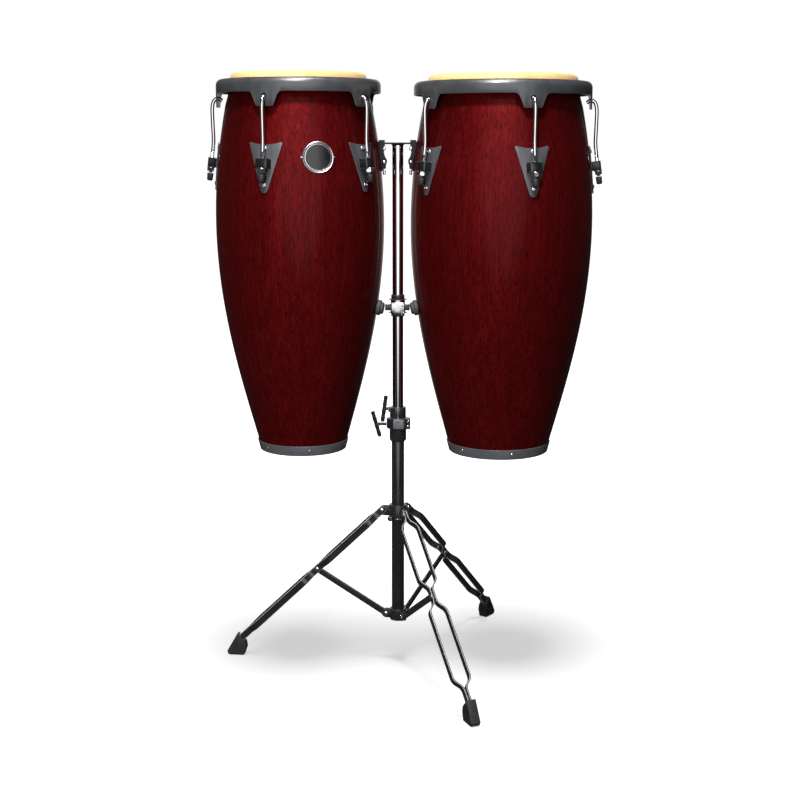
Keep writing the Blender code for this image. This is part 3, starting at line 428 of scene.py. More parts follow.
def rubber(name, colour, rough):
    """Moulded rubber with a matt grain, a little dust in cloudy patches and lighter grey edges."""
    finish = Finish(name)
    cloud = finish.noise((60.0, 60.0, 60.0), 5.0)
    grain = finish.noise((1400.0, 1400.0, 1400.0), 2.0)
    dusty = tuple(part * 1.8 + 0.010 for part in colour)
    tinted = finish.mix(finish.span(cloud, 0.40, 0.75, 0.0, 0.6), colour, dusty)
    # Edges turn a lighter grey.
    edge = finish.mix(finish.maths("MULTIPLY", finish.edge_mask(0.0010), 0.35), tinted, (0.16, 0.16, 0.17))
    roughness = finish.span(cloud, 0.3, 0.8, rough - 0.06, rough + 0.08)
    return finish.done(colour=edge, roughness=roughness, normal=finish.bump(grain, 0.0001, 0.5), specular=0.4)


def axis_of(side):
    low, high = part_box(f"{side}_shell")
    return (low + high) / 2


# Each finish: its name, what makes it, and its settings in the order that maker takes them
FINISHES = {name: make(name, *settings) for name, make, *settings in (
    ("left_shell_lacquer", lacquered_wood, axis_of("left")),
    ("right_shell_lacquer", lacquered_wood, axis_of("right")),
    ("skin", rawhide),
    ("ring_black", coated_metal, (0.055, 0.056, 0.063), 0.80, 0.36, 0.25, 0.3),
    ("rim_black", coated_metal, (0.034, 0.035, 0.039), 0.85, 0.32, 0.5, 0.5),
    ("plate_black", coated_metal, (0.036, 0.038, 0.043), 0.80, 0.38, 0.6, 0.9),
    ("block_black", coated_metal, (0.006, 0.006, 0.007), 0.70, 0.20, 0.4, 1.0),
    ("bracket_black", coated_metal, (0.005, 0.005, 0.006), 0.22, 0.22, 1.0, 0.10),
    ("tube_black", coated_metal, (0.008, 0.008, 0.010), 0.90, 0.19, 0.3, 0.2),
    ("clamp_black", coated_metal, (0.010, 0.010, 0.012), 0.60, 0.22, 0.5, 0.6),
    ("clamp_face", coated_metal, (0.080, 0.086, 0.098), 0.80, 0.30, 0.4, 1.0),
    ("t_bolt_black", coated_metal, (0.006, 0.006, 0.007), 0.50, 0.22, 0.6, 0.5),
    ("strap_black", coated_metal, (0.011, 0.011, 0.013), 0.90, 0.20, 0.4, 1.0),
    # The straps' eased edges: a light grey that paints the highlight along them.
    ("strap_edge_painted_highlight", coated_metal, (0.40, 0.41, 0.43), 0.90, 0.20, 0.3, 0.6),
    ("rod_chrome", chrome, (0.88, 0.88, 0.90), 0.05),
    ("nut_chrome", chrome, (0.92, 0.92, 0.94), 0.12),
    ("post_chrome", chrome, (0.92, 0.92, 0.94), 0.04),
    ("clamp_chrome", chrome, (0.66, 0.66, 0.68), 0.09),
    ("badge_chrome", chrome, (0.95, 0.95, 0.96), 0.30),
    ("bumper_rubber", rubber, (0.034, 0.035, 0.039), 0.62),
    ("foot_rubber", rubber, (0.010, 0.010, 0.011), 0.58),
)}


# ---------------------------------------------------------------- making shapes

def linked(name, data):
    """A new object in the scene."""
    obj = bpy.data.objects.new(name, data)
    bpy.context.scene.collection.objects.link(obj)
    return obj


def around(reach, turn, height):
    """The point at a distance from the axis, turned from -Y by an angle in radians."""
    return reach * math.sin(turn), -reach * math.cos(turn), height


def arc(across, up, radius, start, steps):
    """Points on a circle, 15 degrees apart, from a starting angle in degrees."""
    turns = [math.radians(start + 15 * step) for step in range(steps + 1)]
    return [(across + radius * math.cos(turn), up + radius * math.sin(turn)) for turn in turns]


def mesh_of(body, name="piece"):
    """Turns a bmesh into a mesh with its faces facing out."""
    bmesh.ops.remove_doubles(body, verts=body.verts, dist=1e-6)
    bmesh.ops.recalc_face_normals(body, faces=body.faces)
    mesh = bpy.data.meshes.new(name)
    body.to_mesh(mesh)
    body.free()
    return mesh


def from_grid(rows, closed_rows=False, caps=False):
    """A mesh through rows of points, each row closed on itself."""
    body = bmesh.new()
    lines = [[body.verts.new(point) for point in row] for row in rows]
    pairs = list(zip(lines, lines[1:]))
    if closed_rows:
        pairs.append((lines[-1], lines[0]))
    for near, far in pairs:
        count = len(near)
        for i in range(count):
            j = (i + 1) % count
            body.faces.new((near[i], near[j], far[j], far[i]))
    if caps:
        body.faces.new(lines[0])
        body.faces.new(reversed(lines[-1]))
    return mesh_of(body)


def lathe(profile, steps=ROUND_STEPS):
    """A closed profile of (radius, height) points turned about Z; it may start and end on the axis."""
    rows = []
    for radius, height in profile:
        rows.append([around(radius, math.tau * step / steps, height) for step in range(steps)])
    open_ended = profile[0][0] < 1e-7 and profile[-1][0] < 1e-7
    return from_grid(rows, closed_rows=not open_ended)


def cylinder(radius, bottom, top, steps=SMALL_STEPS):
    """A plain solid cylinder, mostly for boring holes."""
    return lathe([(0.0, bottom), (radius, bottom), (radius, top), (0.0, top)], steps)


def dome(radius, height, steps, base=0.0):
    """Profile of a domed head, from its top on the axis down to its edge."""
    turns = [math.radians(90 * step / steps) for step in range(1, steps + 1)]
    edge = [(radius * math.sin(turn), base + height * math.cos(turn)) for turn in turns]
    return [(0.0, base + height), *edge]


def ring_section(outer, inner, bottom, top, edge):
    """Profile of a plain ring with all four edges eased."""
    return [
        (outer, top - edge), (outer - 0.3 * edge, top - 0.3 * edge), (outer - edge, top),
        (inner + edge, top), (inner, top - edge), (inner, bottom + edge), (inner + edge, bottom),
        (outer - edge, bottom), (outer - 0.3 * edge, bottom + 0.3 * edge), (outer, bottom + edge),
    ]


def smooth_line(points, parts=5):
    """A finer line through points, by Catmull-Rom."""
    points = [Vector(point) for point in points]
    ends = [2 * points[0] - points[1], *points, 2 * points[-1] - points[-2]]
    line = []
    for i in range(1, len(ends) - 2):
        a, b, c, d = ends[i - 1:i + 3]
        for part in range(parts):
            t = part / parts
            line.append(0.5 * ((2 * b) + (c - a) * t + (2 * a - 5 * b + 4 * c - d) * t * t
                               + (3 * b - a - 3 * c + d) * t ** 3))
    line.append(points[-1])
    return line


def sweep(line, sections):
    """Carries a flat section of (side, front) points along a line in 3-D; one section for each point."""
    rows = []
    side = None
    for i, point in enumerate(line):
        way = (line[min(i + 1, len(line) - 1)] - line[max(i - 1, 0)]).normalized()
        if side is None:
            side = way.orthogonal().normalized()
        side = (side - way * side.dot(way)).normalized()
        front = way.cross(side)
        rows.append([point + side * a + front * b for a, b in sections[i]])
    return from_grid(rows, caps=True)


def circle(radius, steps):
    return [(radius * math.cos(math.tau * i / steps), radius * math.sin(math.tau * i / steps))
            for i in range(steps)]


def rod(line, radii, steps=SMALL_STEPS):
    return sweep([Vector(point) for point in line], [circle(radius, steps) for radius in radii])


def prism(outline, low, high, axis="Z"):
    """A flat outline given a thickness. Drawn in XY for Z, in XZ for Y, and in (-Y)Z for X."""
    places = {
        "Z": lambda a, b, t: (a, b, t),
        "Y": lambda a, b, t: (a, t, b),
        "X": lambda a, b, t: (t, -a, b),
    }
    rows = [[places[axis](a, b, t) for a, b in outline] for t in (low, high)]
    return from_grid(rows, caps=True)


def block(low, high):
    (x0, y0, z0), (x1, y1, z1) = low, high
    return prism([(x0, y0), (x1, y0), (x1, y1), (x0, y1)], z0, z1)


def placed(mesh, matrix):
    mesh.transform(matrix)
    return mesh


def applied(mesh, kind, **settings):
    """The mesh after one modifier."""
    obj = linked("work", mesh)
    modifier = obj.modifiers.new(kind.lower(), kind)
    for key, value in settings.items():
        setattr(modifier, key, value)
    graph = bpy.context.evaluated_depsgraph_get()
    result = bpy.data.meshes.new_from_object(obj.evaluated_get(graph), depsgraph=graph)
    bpy.data.objects.remove(obj, do_unlink=True)
    return result


def eased(mesh, width, segments=2, angle=28.0):
    return applied(
        mesh, "BEVEL", width=width, segments=segments, limit_method="ANGLE",
        angle_limit=math.radians(angle), use_clamp_overlap=True,
    )


def combined(mesh, other, operation):
    tool = linked("tool", other)
    result = applied(mesh, "BOOLEAN", operation=operation, solver="EXACT", object=tool)
    bpy.data.objects.remove(tool, do_unlink=True)
    return result


def cut(mesh, *others):
    for other in others:
        mesh = combined(mesh, other, "DIFFERENCE")
    return mesh


def union(mesh, *others):
    for other in others:
        mesh = combined(mesh, other, "UNION")
    return mesh


def together(*meshes):
    """Several bodies in one mesh."""
    body = bmesh.new()
    for mesh in meshes:
        body.from_mesh(mesh)
    joined = bpy.data.meshes.new("together")
    body.to_mesh(joined)
    body.free()
    return joined


def softened(node, width, segments=2, angle=28.0):
    """A copy of a CAD node's shape with its flat faces made whole and its edges eased."""
    body = bmesh.new()
    body.from_mesh(frame["nodes"][node].data)
    bmesh.ops.remove_doubles(body, verts=body.verts, dist=1e-5)
    bmesh.ops.dissolve_limit(body, angle_limit=math.radians(0.5), verts=body.verts, edges=body.edges)
    for edge in body.edges:
        edge.smooth = True
    mesh = mesh_of(body)
    if "custom_normal" in mesh.attributes:
        mesh.attributes.remove(mesh.attributes["custom_normal"])
    return eased(mesh, width, segments, angle)


def turned_by(degrees, axis="Z"):
    return Matrix.Rotation(math.radians(degrees), 4, axis)


def shift(x=0.0, y=0.0, z=0.0):
    return Matrix.Translation((x, y, z))


def add(name, mesh, body, slot, replaces=(), matrix=None, finish=None):
    """Puts a piece in the scene, on its body, with its finish."""
    if not mesh.materials:
        mesh.materials.append(FINISHES[finish or slot])
    mesh.shade_smooth()
    mesh.set_sharp_from_angle(angle=math.radians(SHARP_ANGLE))
    obj = linked(name, mesh)
    obj.matrix_world = matrix or Matrix.Identity(4)
    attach(obj, body)
    if replaces:
        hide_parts(*replaces)
    return obj


# ---------------------------------------------------------------- drums

def shell_reach(height):
    away = height - BELLY_HEIGHT
    return BELLY_SWELL - BELLY_CURVE * away ** 2 + BELLY_RELIEF * away ** 4


def shell_slope(height):
    away = height - BELLY_HEIGHT
    return -2 * BELLY_CURVE * away + 4 * BELLY_RELIEF * away ** 3


def shell_mesh(radius):
    heights = [SHELL_TOP * row / SHELL_ROWS for row in range(SHELL_ROWS + 1)]
    outside = [(radius + shell_reach(height), height) for height in heights]
    edge = [(radius + reach, height) for reach, height in BEARING_EDGE]
    inside = [(radius + shell_reach(height) - SHELL_WALL, height) for height in reversed(heights)]
    return lathe(outside + edge + inside, SHELL_STEPS)


def bottom_ring_mesh(radius):
    """Band round the foot of the shell, turned in under half its wall."""
    foot = radius + shell_reach(0.0) + GAP
    top = radius + shell_reach(RING_TOP) + GAP
    lip = foot - SHELL_WALL / 2
    profile = [
        (top, RING_TOP), (top + 0.0009, RING_TOP), (top + 0.0015, 0.0170), (top + 0.0016, 0.0160),
        (foot + 0.0026, 0.0010), (foot + 0.0025, 0.0), (foot + 0.0021, -0.0013), (foot + 0.0010, -0.0022),
        (foot - 0.0002, RING_BOTTOM), (lip + 0.0006, RING_BOTTOM), (lip, -0.0020), (lip, -GAP), (foot, -GAP),
    ]
    return lathe(profile, SHELL_STEPS)


def head_mesh(radius):
    """Skin drawn over the bearing edge and lapped round its hoop under the rim."""
    top = [(0.0, SKIN_TOP), (radius * 0.4, SKIN_TOP), (radius * 0.8, SKIN_TOP), (radius - 0.0120, SKIN_TOP)]
    roll = [
        (-0.0085, SKIN_TOP - 0.0001), (-0.0062, 0.7179), (-0.0040, 0.7172), (-0.0020, 0.7160),
        (-0.0004, 0.7142), (0.0007, 0.7118), (0.0013, 0.7085), (0.0018, 0.7050), (0.0024, 0.7005),
        (0.0034, 0.6964), (0.0056, 0.6957), (0.0074, 0.6951), (HOOP_REACH, 0.6938), (HOOP_REACH, 0.6908),
        (0.0074, 0.6897), (0.0056, 0.6895), (0.0040, 0.6900), (0.0030, 0.6940), (0.0018, 0.6990),
        (0.0004, 0.7060), (-0.0006, 0.7110), (-0.0019, 0.7148), (-0.0034, 0.7164),
        (-0.0050, SKIN_TOP - SKIN_THICKNESS),
    ]
    under = [(radius * 0.8, SKIN_TOP - SKIN_THICKNESS), (0.0, SKIN_TOP - SKIN_THICKNESS)]
    return lathe(top + [(radius + reach, height) for reach, height in roll] + under, SHELL_STEPS)


def rim_mesh(radius, lug_angles):
    """Pressed hoop: its lower edge dips into five ears, each with a keyhole for its hook."""
    outer = radius + RIM_REACH
    half_pitch = math.radians(LUG_PITCH / 2) * outer
    halves = [half for half, height in EAR_SIDE]
    halves += [EAR_REACH + (half_pitch - EAR_REACH) * step / 12 for step in range(1, 13)]
    stations = []
    for half in halves:
        height = BAND_BOTTOM
        for (h0, z0), (h1, z1) in zip(EAR_SIDE, EAR_SIDE[1:]):
            if h0 <= half <= h1:
                height = z0 + (z1 - z0) * (half - h0) / (h1 - h0)
        stations.append((half / outer, height))
    columns = [(-turn, height) for turn, height in reversed(stations[1:-1])] + stations
    rows = []
    for angle in lug_angles:
        for turn, low in columns:
            direction = math.radians(angle) + turn
            lip = [(reach, low + rise) for reach, rise in RIM_LIP]
            section = (*RIM_CROWN, *lip, *RIM_INSIDE)
            rows.append([around(radius + reach, direction, z) for reach, z in section])
    hoop = from_grid(rows, closed_rows=True)
    slot = math.asin(HOOK_SLOT_HALF / HOOK_HOLE_RADIUS)
    outline = []
    for step in range(SMALL_STEPS + 1):
        turn = -math.pi / 2 + slot + (math.tau - 2 * slot) * step / SMALL_STEPS
        across, up = HOOK_HOLE_RADIUS * math.cos(turn), HOOK_HOLE_RADIUS * math.sin(turn)
        outline.append((across, HOOK_HOLE_Z + up))
    below = EAR_BOTTOM - 0.002
    outline += [(-HOOK_SLOT_HALF, below), (HOOK_SLOT_HALF, below)]
    holes = []
    for angle in lug_angles:
        holes.append(placed(prism(outline, -outer * 1.05, -outer * 0.92, "Y"), turned_by(angle)))
    return cut(hoop, together(*holes))


def rod_axis(radius, height):
    return Vector((0.0, -(radius + LUG_REACH - LUG_SLOPE * (height - LUG_Z)), height))


def hook_rod_mesh(radius, drop):
    """Bent rod with a domed end, a rolled thread at the bottom, and two straight runs."""
    bend = smooth_line([(0.0, -(radius + reach), height) for reach, height in ROD_BEND], 5)
    line = [bend[0] + Vector((0.0, 0.0009, -0.0007))] + bend
    radii = [ROD_RADIUS * 0.80] + [ROD_RADIUS] * len(bend)
    line.append(rod_axis(radius, THREAD_TOP - drop + 0.0020))
    radii.append(ROD_RADIUS)
    turns = int((THREAD_TOP - THREAD_END) / THREAD_PITCH)
    for turn in range(turns):
        for part, size in ((0.0, ROD_RADIUS), (0.5, ROD_RADIUS - THREAD_DEPTH)):
            line.append(rod_axis(radius, THREAD_TOP - drop - (turn + part) * THREAD_PITCH))
            radii.append(size)
    return rod(line, radii, 20)


def rod_cap_mesh(radius, drop):
    """Push-on cap at the rod's end, with a rounded bottom and a rolled mouth."""
    top = THREAD_END + 0.0004
    length = top - CAP_BOTTOM
    profile = [
        (0.0, 0.0), (0.0034, 0.0), (0.0040, -0.0003), (0.0056, -0.0003), (CAP_RADIUS, -0.0009),
        (CAP_RADIUS, -0.0024), (CAP_RADIUS - 0.0003, -0.0028), (CAP_RADIUS - 0.0001, -0.0034),
        (CAP_RADIUS - 0.0004, -length + 0.0030), (CAP_RADIUS - 0.0010, -length + 0.0014),
        (CAP_RADIUS - 0.0025, -length + 0.0003), (0.0, -length),
    ]
    return placed(lathe(profile, 32), Matrix.Translation(rod_axis(radius, top - drop)) @ LUG_TILT)


def tuning_nut_mesh():
    """Hexagon nut with chamfered corners below a dished washer."""
    top = -BLOCK_HEIGHT / 2 - GAP
    washer = lathe([
        (0.0080, top - 0.0004), (0.0077, top), (0.0045, top), (0.0045, top - 0.0014),
        (0.0070, top - 0.0016), (0.0080, top - 0.0011),
    ], 40)
    low, high = top - 0.0078, top - 0.0016
    hexagon = prism(circle(0.0074, 6), low, high)
    drum = lathe([
        (0.0, high), (0.0063, high), (0.0075, high - 0.0007), (0.0075, low + 0.0009), (0.0063, low),
        (0.0, low),
    ], 40)
    nut = combined(hexagon, drum, "INTERSECT")
    return together(washer, cut(nut, cylinder(0.0042, low - 0.001, high + 0.001, 32)))


def screw_mesh(radius=0.0044, height=0.0026):
    """Round-headed screw along +Z with a cross recess; its seat is at zero."""
    head = lathe(dome(radius, height, 6) + [(radius, -0.0006), (0.0, -0.0006)], 32)
    arm, half = radius * 0.55, radius * 0.14
    recess = []
    for low, high in (((-arm, -half), (arm, half)), ((-half, -arm), (half, arm))):
        recess.append(block((*low, height * 0.55), (*high, height * 2)))
    return cut(head, *recess)


def plate_surface(radius, height, drop):
    """A point on the middle line of a side plate's outside, and how that line leans."""
    middle = PLATE_MIDDLE - drop
    lean = shell_slope(middle)
    reach = radius + shell_reach(middle) + GAP + PLATE_THICKNESS
    return Vector((0.0, -(reach + lean * (height - middle)), height)), lean


def facing(point, lean=0.0):
    """Frame at a point with its Z axis facing -Y, tipped by the slope of the surface."""
    out = Vector((0.0, -1.0, -lean)).normalized()
    return Matrix.Translation(point) @ out.to_track_quat("Z", "Y").to_matrix().to_4x4()


def lug_plate_mesh(node, axis, plate_face):
    """A side plate with its block in a glossier black than the flat plate behind it."""
    mesh = softened(node, 0.0004)
    for finish in ("plate_black", "block_black"):
        mesh.materials.append(FINISHES[finish])
    for face in mesh.polygons:
        out = math.hypot(face.center.x - axis.x, face.center.y - axis.y)
        face.material_index = int(out > plate_face(face.center.z - axis.z) + BLOCK_STANDS_OUT)
    return mesh


def badge_meshes(radius, height):
    """Plain oval badge bent to the shell: a ring, a thin line inside it, two pins and the face."""
    reach = radius + shell_reach(height)
    lean = shell_slope(height)

    def loop(share, out):
        row = []
        for step in range(BADGE_STEPS):
            turn = math.tau * step / BADGE_STEPS
            across = BADGE_HALF_WIDTH * share * math.cos(turn)
            up = BADGE_HALF_HEIGHT * share * math.sin(turn)
            far = reach + lean * up - BELLY_CURVE * up * up + out
            row.append(around(far, across / reach, height + up))
        return row

    ring = from_grid([loop(*step) for step in BADGE_RING], closed_rows=True)
    line = from_grid([loop(*step) for step in BADGE_LINE], closed_rows=True)
    face = from_grid([loop(*step) for step in BADGE_FACE], caps=True)
    pins = []
    for side in (-1, 1):
        turn = side * BADGE_HALF_WIDTH * BADGE_PIN_SHARE / reach
        place = turned_by(math.degrees(turn)) @ facing(Vector((0.0, -reach - 0.0013, height)), lean)
        pins.append(placed(lathe(BADGE_PIN, 20), place))
    return together(ring, line, *pins), face


def build_drum(side):
    """Draws one drum, with its size, place and lugs found from the frame."""
    body = f"{side}_drum"
    low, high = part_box(f"{side}_shell")
    hoop_low, hoop_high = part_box(f"{side}_head")
    radius = (hoop_high.x - hoop_low.x) / 2 - HOOP_REACH
    centre = (low + high) / 2
    origin = Vector((centre.x, centre.y, low.z))
    place = Matrix.Translation(origin)
    lugs = []
    for number in range(1, 6):
        away = Vector(JOINTS[f"{side}_nut_{number}_turn"]["pos_m"]) - origin
        lugs.append((number, math.degrees(math.atan2(away.x, -away.y)), LUG_Z - away.z))
    drop = lugs[0][2]
    angles = sorted(angle for number, angle, away in lugs)

    def put(piece, mesh, slot, node=None, matrix=None, finish=None):
        add(f"{side}_{piece}", mesh, body, slot, [f"{side}_{node}"] if node else (), matrix, finish)

    put("drum_shell", shell_mesh(radius), "shell_lacquer", "shell", place, f"{side}_shell_lacquer")
    put("drum_bottom_ring", bottom_ring_mesh(radius), "ring_black", "bottom_ring", place)
    put("drum_head", head_mesh(radius), "skin", "head", place)
    put("drum_rim", rim_mesh(radius, angles), "rim_black", "rim", place)

    rod_shape = hook_rod_mesh(radius, drop)
    cap_shape = rod_cap_mesh(radius, drop)
    nut_shape = tuning_nut_mesh()
    screw_shape = screw_mesh()
    def plate_face(height):
        return -plate_surface(radius, height, drop)[0].y

    for number, angle, away in lugs:
        turned = place @ turned_by(angle)
        node = f"side_plate_{number}"
        plate = lug_plate_mesh(f"{side}_{node}", origin, plate_face)
        put(f"lug_plate_{number}", plate, "plate_black", node)
        for row, height in enumerate(SCREW_HEIGHTS, start=1):
            seat = facing(*plate_surface(radius, height - drop, drop))
            put(f"plate_screw_{number}_{row}", screw_shape, "nut_chrome", matrix=turned @ seat)
        put(f"tension_rod_{number}", rod_shape, "rod_chrome", f"hook_rod_{number}", turned)
        put(f"rod_cap_{number}", cap_shape, "foot_rubber", matrix=turned)
        node = f"{side}_tuning_nut_{number}"
        nut_place = turned @ Matrix.Translation(rod_axis(radius, LUG_Z - drop)) @ LUG_TILT
        add(f"{side}_hex_nut_{number}", nut_shape, f"{side}_nut_{number}", "nut_chrome", [node], nut_place)

    put("drum_bracket", softened(f"{side}_bracket", 0.0006), "bracket_black", "bracket")
    towards_post = place @ turned_by(90.0 if side == "left" else -90.0)
    bolt_shape = screw_mesh(0.0046, 0.0028)
    for row, floor_height in enumerate(BRACKET_BOLT_HEIGHTS, start=1):
        height = floor_height - origin.z
        point = Vector((0.0, -(radius + shell_reach(height) + BRACKET_THICKNESS), height))
        seat = facing(point, shell_slope(height))
        put(f"bracket_bolt_{row}", bolt_shape, "nut_chrome", matrix=towards_post @ seat)
    low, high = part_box(f"{side}_bracket")
    edge_x = high.x - BRACKET_EDGE if side == "left" else low.x + BRACKET_EDGE
    side_bolt = screw_mesh(0.0032, 0.0018)
    for row, share in enumerate(BRACKET_SIDE_SHARES, start=1):
        spot = Vector((edge_x, low.y, low.z + share * (high.z - low.z)))
        put(f"bracket_side_bolt_{row}", side_bolt, "nut_chrome", matrix=facing(spot))
    stud = lathe([(0.0, 0.0020), (0.0028, 0.0020), (0.0028, -0.0062), (0.0022, -0.0070), (0.0, -0.0070)], 24)
    stud_place = Matrix.Translation((edge_x, low.y + 0.0060, low.z))
    put("bracket_stud", stud, "nut_chrome", matrix=stud_place)

    ring_screw = screw_mesh(0.0026, 0.0012)
    for number in range(RING_SCREWS):
        point = Vector((0.0, -(radius + shell_reach(0.009) + 0.0022), RING_SCREW_Z))
        seat = turned_by(360.0 / RING_SCREWS * number + 12.0) @ facing(point, shell_slope(0.009))
        put(f"ring_screw_{number + 1}", ring_screw, "nut_chrome", matrix=place @ seat)

    if side == "left":
        ring, face = badge_meshes(radius, BADGE_Z)
        turned = place @ turned_by(BADGE_ANGLE)
        add("badge_ring", ring, body, "nut_chrome", matrix=turned, finish="badge_chrome")
        add("badge_centre", face, body, "ring_black", matrix=turned, finish="block_black")


# ---------------------------------------------------------------- post and clamps

def post_place():
    low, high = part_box("lower_tube")
    return Matrix.Translation(((low.x + high.x) / 2, (low.y + high.y) / 2, 0.0))


def upper_post_meshes(place):
    """Chrome tube, open below, and the flat black crossbar welded on top of it."""
    inner = POST_RADIUS - POST_WALL
    tube = lathe([
        (0.0, BAR_BOTTOM), (POST_RADIUS, BAR_BOTTOM), (POST_RADIUS, POST_BOTTOM + 0.0006),
        (POST_RADIUS - 0.0005, POST_BOTTOM), (inner + 0.0005, POST_BOTTOM), (inner, POST_BOTTOM + 0.0006),
        (inner, BAR_BOTTOM - 0.003), (0.0, BAR_BOTTOM - 0.003),
    ])
    weld = lathe([
        (POST_RADIUS - 0.0005, BAR_BOTTOM), (POST_RADIUS + 0.0022, BAR_BOTTOM),
        (POST_RADIUS + 0.0014, BAR_BOTTOM - 0.0012), (POST_RADIUS + 0.0002, BAR_BOTTOM - 0.0022),
        (POST_RADIUS - 0.0005, BAR_BOTTOM - 0.0022),
    ])
    low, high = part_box("upper_post")
    axis = place.translation
    left, right = low.x - axis.x, high.x - axis.x
    outline = []
    for x, y, start in (
        (right, -BAR_HALF_DEPTH, -90), (right, BAR_HALF_DEPTH, 0), (left, BAR_HALF_DEPTH, 90),
        (left, -BAR_HALF_DEPTH, 180),
    ):
        across, up = x - math.copysign(BAR_CORNER, x), y - math.copysign(BAR_CORNER, y)
        outline += arc(across, up, BAR_CORNER, start, 6)
    bar = eased(prism(outline, BAR_BOTTOM, BAR_TOP), 0.0005)
    holes = []
    for x in (left + BAR_HOLE_IN, right - BAR_HOLE_IN):
        holes.append(placed(cylinder(BAR_HOLE_RADIUS, 1.03, 1.05), shift(x)))
    return tube, together(weld, cut(bar, *holes))


def lower_tube_mesh():
    return lathe(ring_section(TUBE_RADIUS, TUBE_BORE, TUBE_BOTTOM, TUBE_TOP, 0.0005))


def support_clamp_meshes():
    """Chrome block on the front of the post, black collars and arms."""
    bore = POST_BORE
    collars = []
    for low, high, radius in (
        (0.0165, 0.0250, 0.0130), (0.0152, 0.0165, 0.0178), (-0.0105, -0.0092, 0.0178),
        (-0.0170, -0.0105, 0.0130),
    ):
        collars.append(lathe(ring_section(radius, bore, low, high, 0.0005)))
    sleeve = lathe(ring_section(0.0142, bore, -0.0092, 0.0152, 0.0004))
    shell = eased(block((-0.0130, -0.0300, -0.0125), (0.0130, -0.0110, 0.0125)), 0.0016, 3)
    hole = placed(cylinder(0.0030, 0.0, 0.0060, 32), facing((0, -0.0255, 0.0)))
    groove = block((0.0072, -0.0310, -0.0140), (0.0079, -0.0285, 0.0140))
    front = cut(shell, hole, groove, cylinder(bore, -0.02, 0.03, 48))
    arms = []
    for left, right in ((-0.0246, -0.0126), (0.0126, 0.0230)):
        low, high = (left, -0.0275, ARM_RISE - 0.006), (right, -0.0215, ARM_RISE + 0.006)
        arms.append(eased(block(low, high), 0.0012, 3))
    return together(*collars, *arms), together(sleeve, front)


def height_clamp_meshes():
    """Sleeve with its clamping ears: a light front plate and a dark block on the right."""
    bore, post = TUBE_RADIUS + GAP, POST_BORE
    sleeve = lathe([
        (0.0165, 0.5054), (0.0159, CLAMP_TOP), (post, CLAMP_TOP), (post, CLAMP_BORE_TOP),
        (bore, CLAMP_BORE_TOP), (bore, CLAMP_BOTTOM), (0.0138, CLAMP_BOTTOM), (0.0141, 0.4588),
        (0.0163, 0.4618), (0.0165, 0.4624), (0.0165, 0.4835), (0.0160, 0.4841), (0.0160, 0.4848),
        (0.0165, 0.4854),
    ])
    outline = [
        (-0.0225, 0.0), (-0.0180, -0.0130), (-0.0090, -0.0195), (0.0116, -0.0195), (0.0150, -0.0170),
        (0.0245, -0.0150), (0.0245, 0.0030), (0.0165, 0.0120), (-0.0165, 0.0120),
    ]
    band = eased(prism(outline, *CLAMP_BAND), 0.0008, 3)
    tube = lathe([
        (0.0, 0.46), (bore, 0.46), (bore, CLAMP_BORE_TOP), (post, CLAMP_BORE_TOP), (post, 0.52), (0.0, 0.52),
    ], 48)
    slit = block((0.0113, -0.030, 0.480), (0.0121, -0.008, 0.510))
    band = cut(band, tube, slit)
    plate = eased(block((-0.0088, -0.0203, 0.4866), (0.0108, -0.0190, 0.5040)), 0.0004, 2)
    slot = block((-0.0030, -0.0220, 0.4985), (0.0030, -0.0180, 0.5005))
    return together(sleeve, band), cut(plate, slot)


def memory_lock_mesh():
    """Split ring with a boss for its T-bolt and a small ear in front."""
    ring = lathe(ring_section(0.0158, POST_BORE, LOCK_BOTTOM, LOCK_TOP, 0.0009))
    boss = eased(block((-0.0190, -0.0065, 0.5178), (-0.0126, 0.0065, 0.5267)), 0.0008, 3)
    ear = eased(block((-0.0050, -0.0178, 0.5090), (0.0050, -0.0140, 0.5250)), 0.0008, 3)
    split = block((-0.0005, -0.0200, 0.5000), (0.0005, -0.0105, 0.5300))
    return together(boss, cut(union(ring, ear), split))


def t_bolt_mesh(length, lean):
    """Threaded rod with a twisted square bar across its end."""
    turns = int(length / T_PITCH)
    line, radii = [], []
    for turn in range(turns):
        for part, size in ((0.0, T_CREST), (0.5, T_ROOT)):
            line.append(Vector((-(turn + part) * length / turns, 0.0, 0.0)))
            radii.append(size)
    thread = rod(line, radii, 20)
    middle = -length + T_BAR_RADIUS
    count = 48
    rows = []
    for step in range(count + 1):
        along = -T_BAR_HALF + 2 * T_BAR_HALF * step / count
        from_end = T_BAR_HALF - abs(along)
        size = T_BAR_RADIUS * math.sqrt(max(0.12, 1 - max(0.0, 1 - from_end / T_BAR_END) ** 2))
        twist = math.radians(T_BAR_TWIST) * step / count
        row = []
        for corner in range(16):
            turn = math.tau * corner / 16 + twist
            square = size * (1.0 if corner % 4 == 2 else 0.93 if corner % 2 else 0.90)
            row.append((middle + square * math.cos(turn), square * math.sin(turn), along))
        rows.append(row)
    bar = from_grid(rows, caps=True)
    tilt = shift(middle) @ turned_by(lean, "Y") @ shift(-middle)
    return together(thread, placed(bar, tilt))


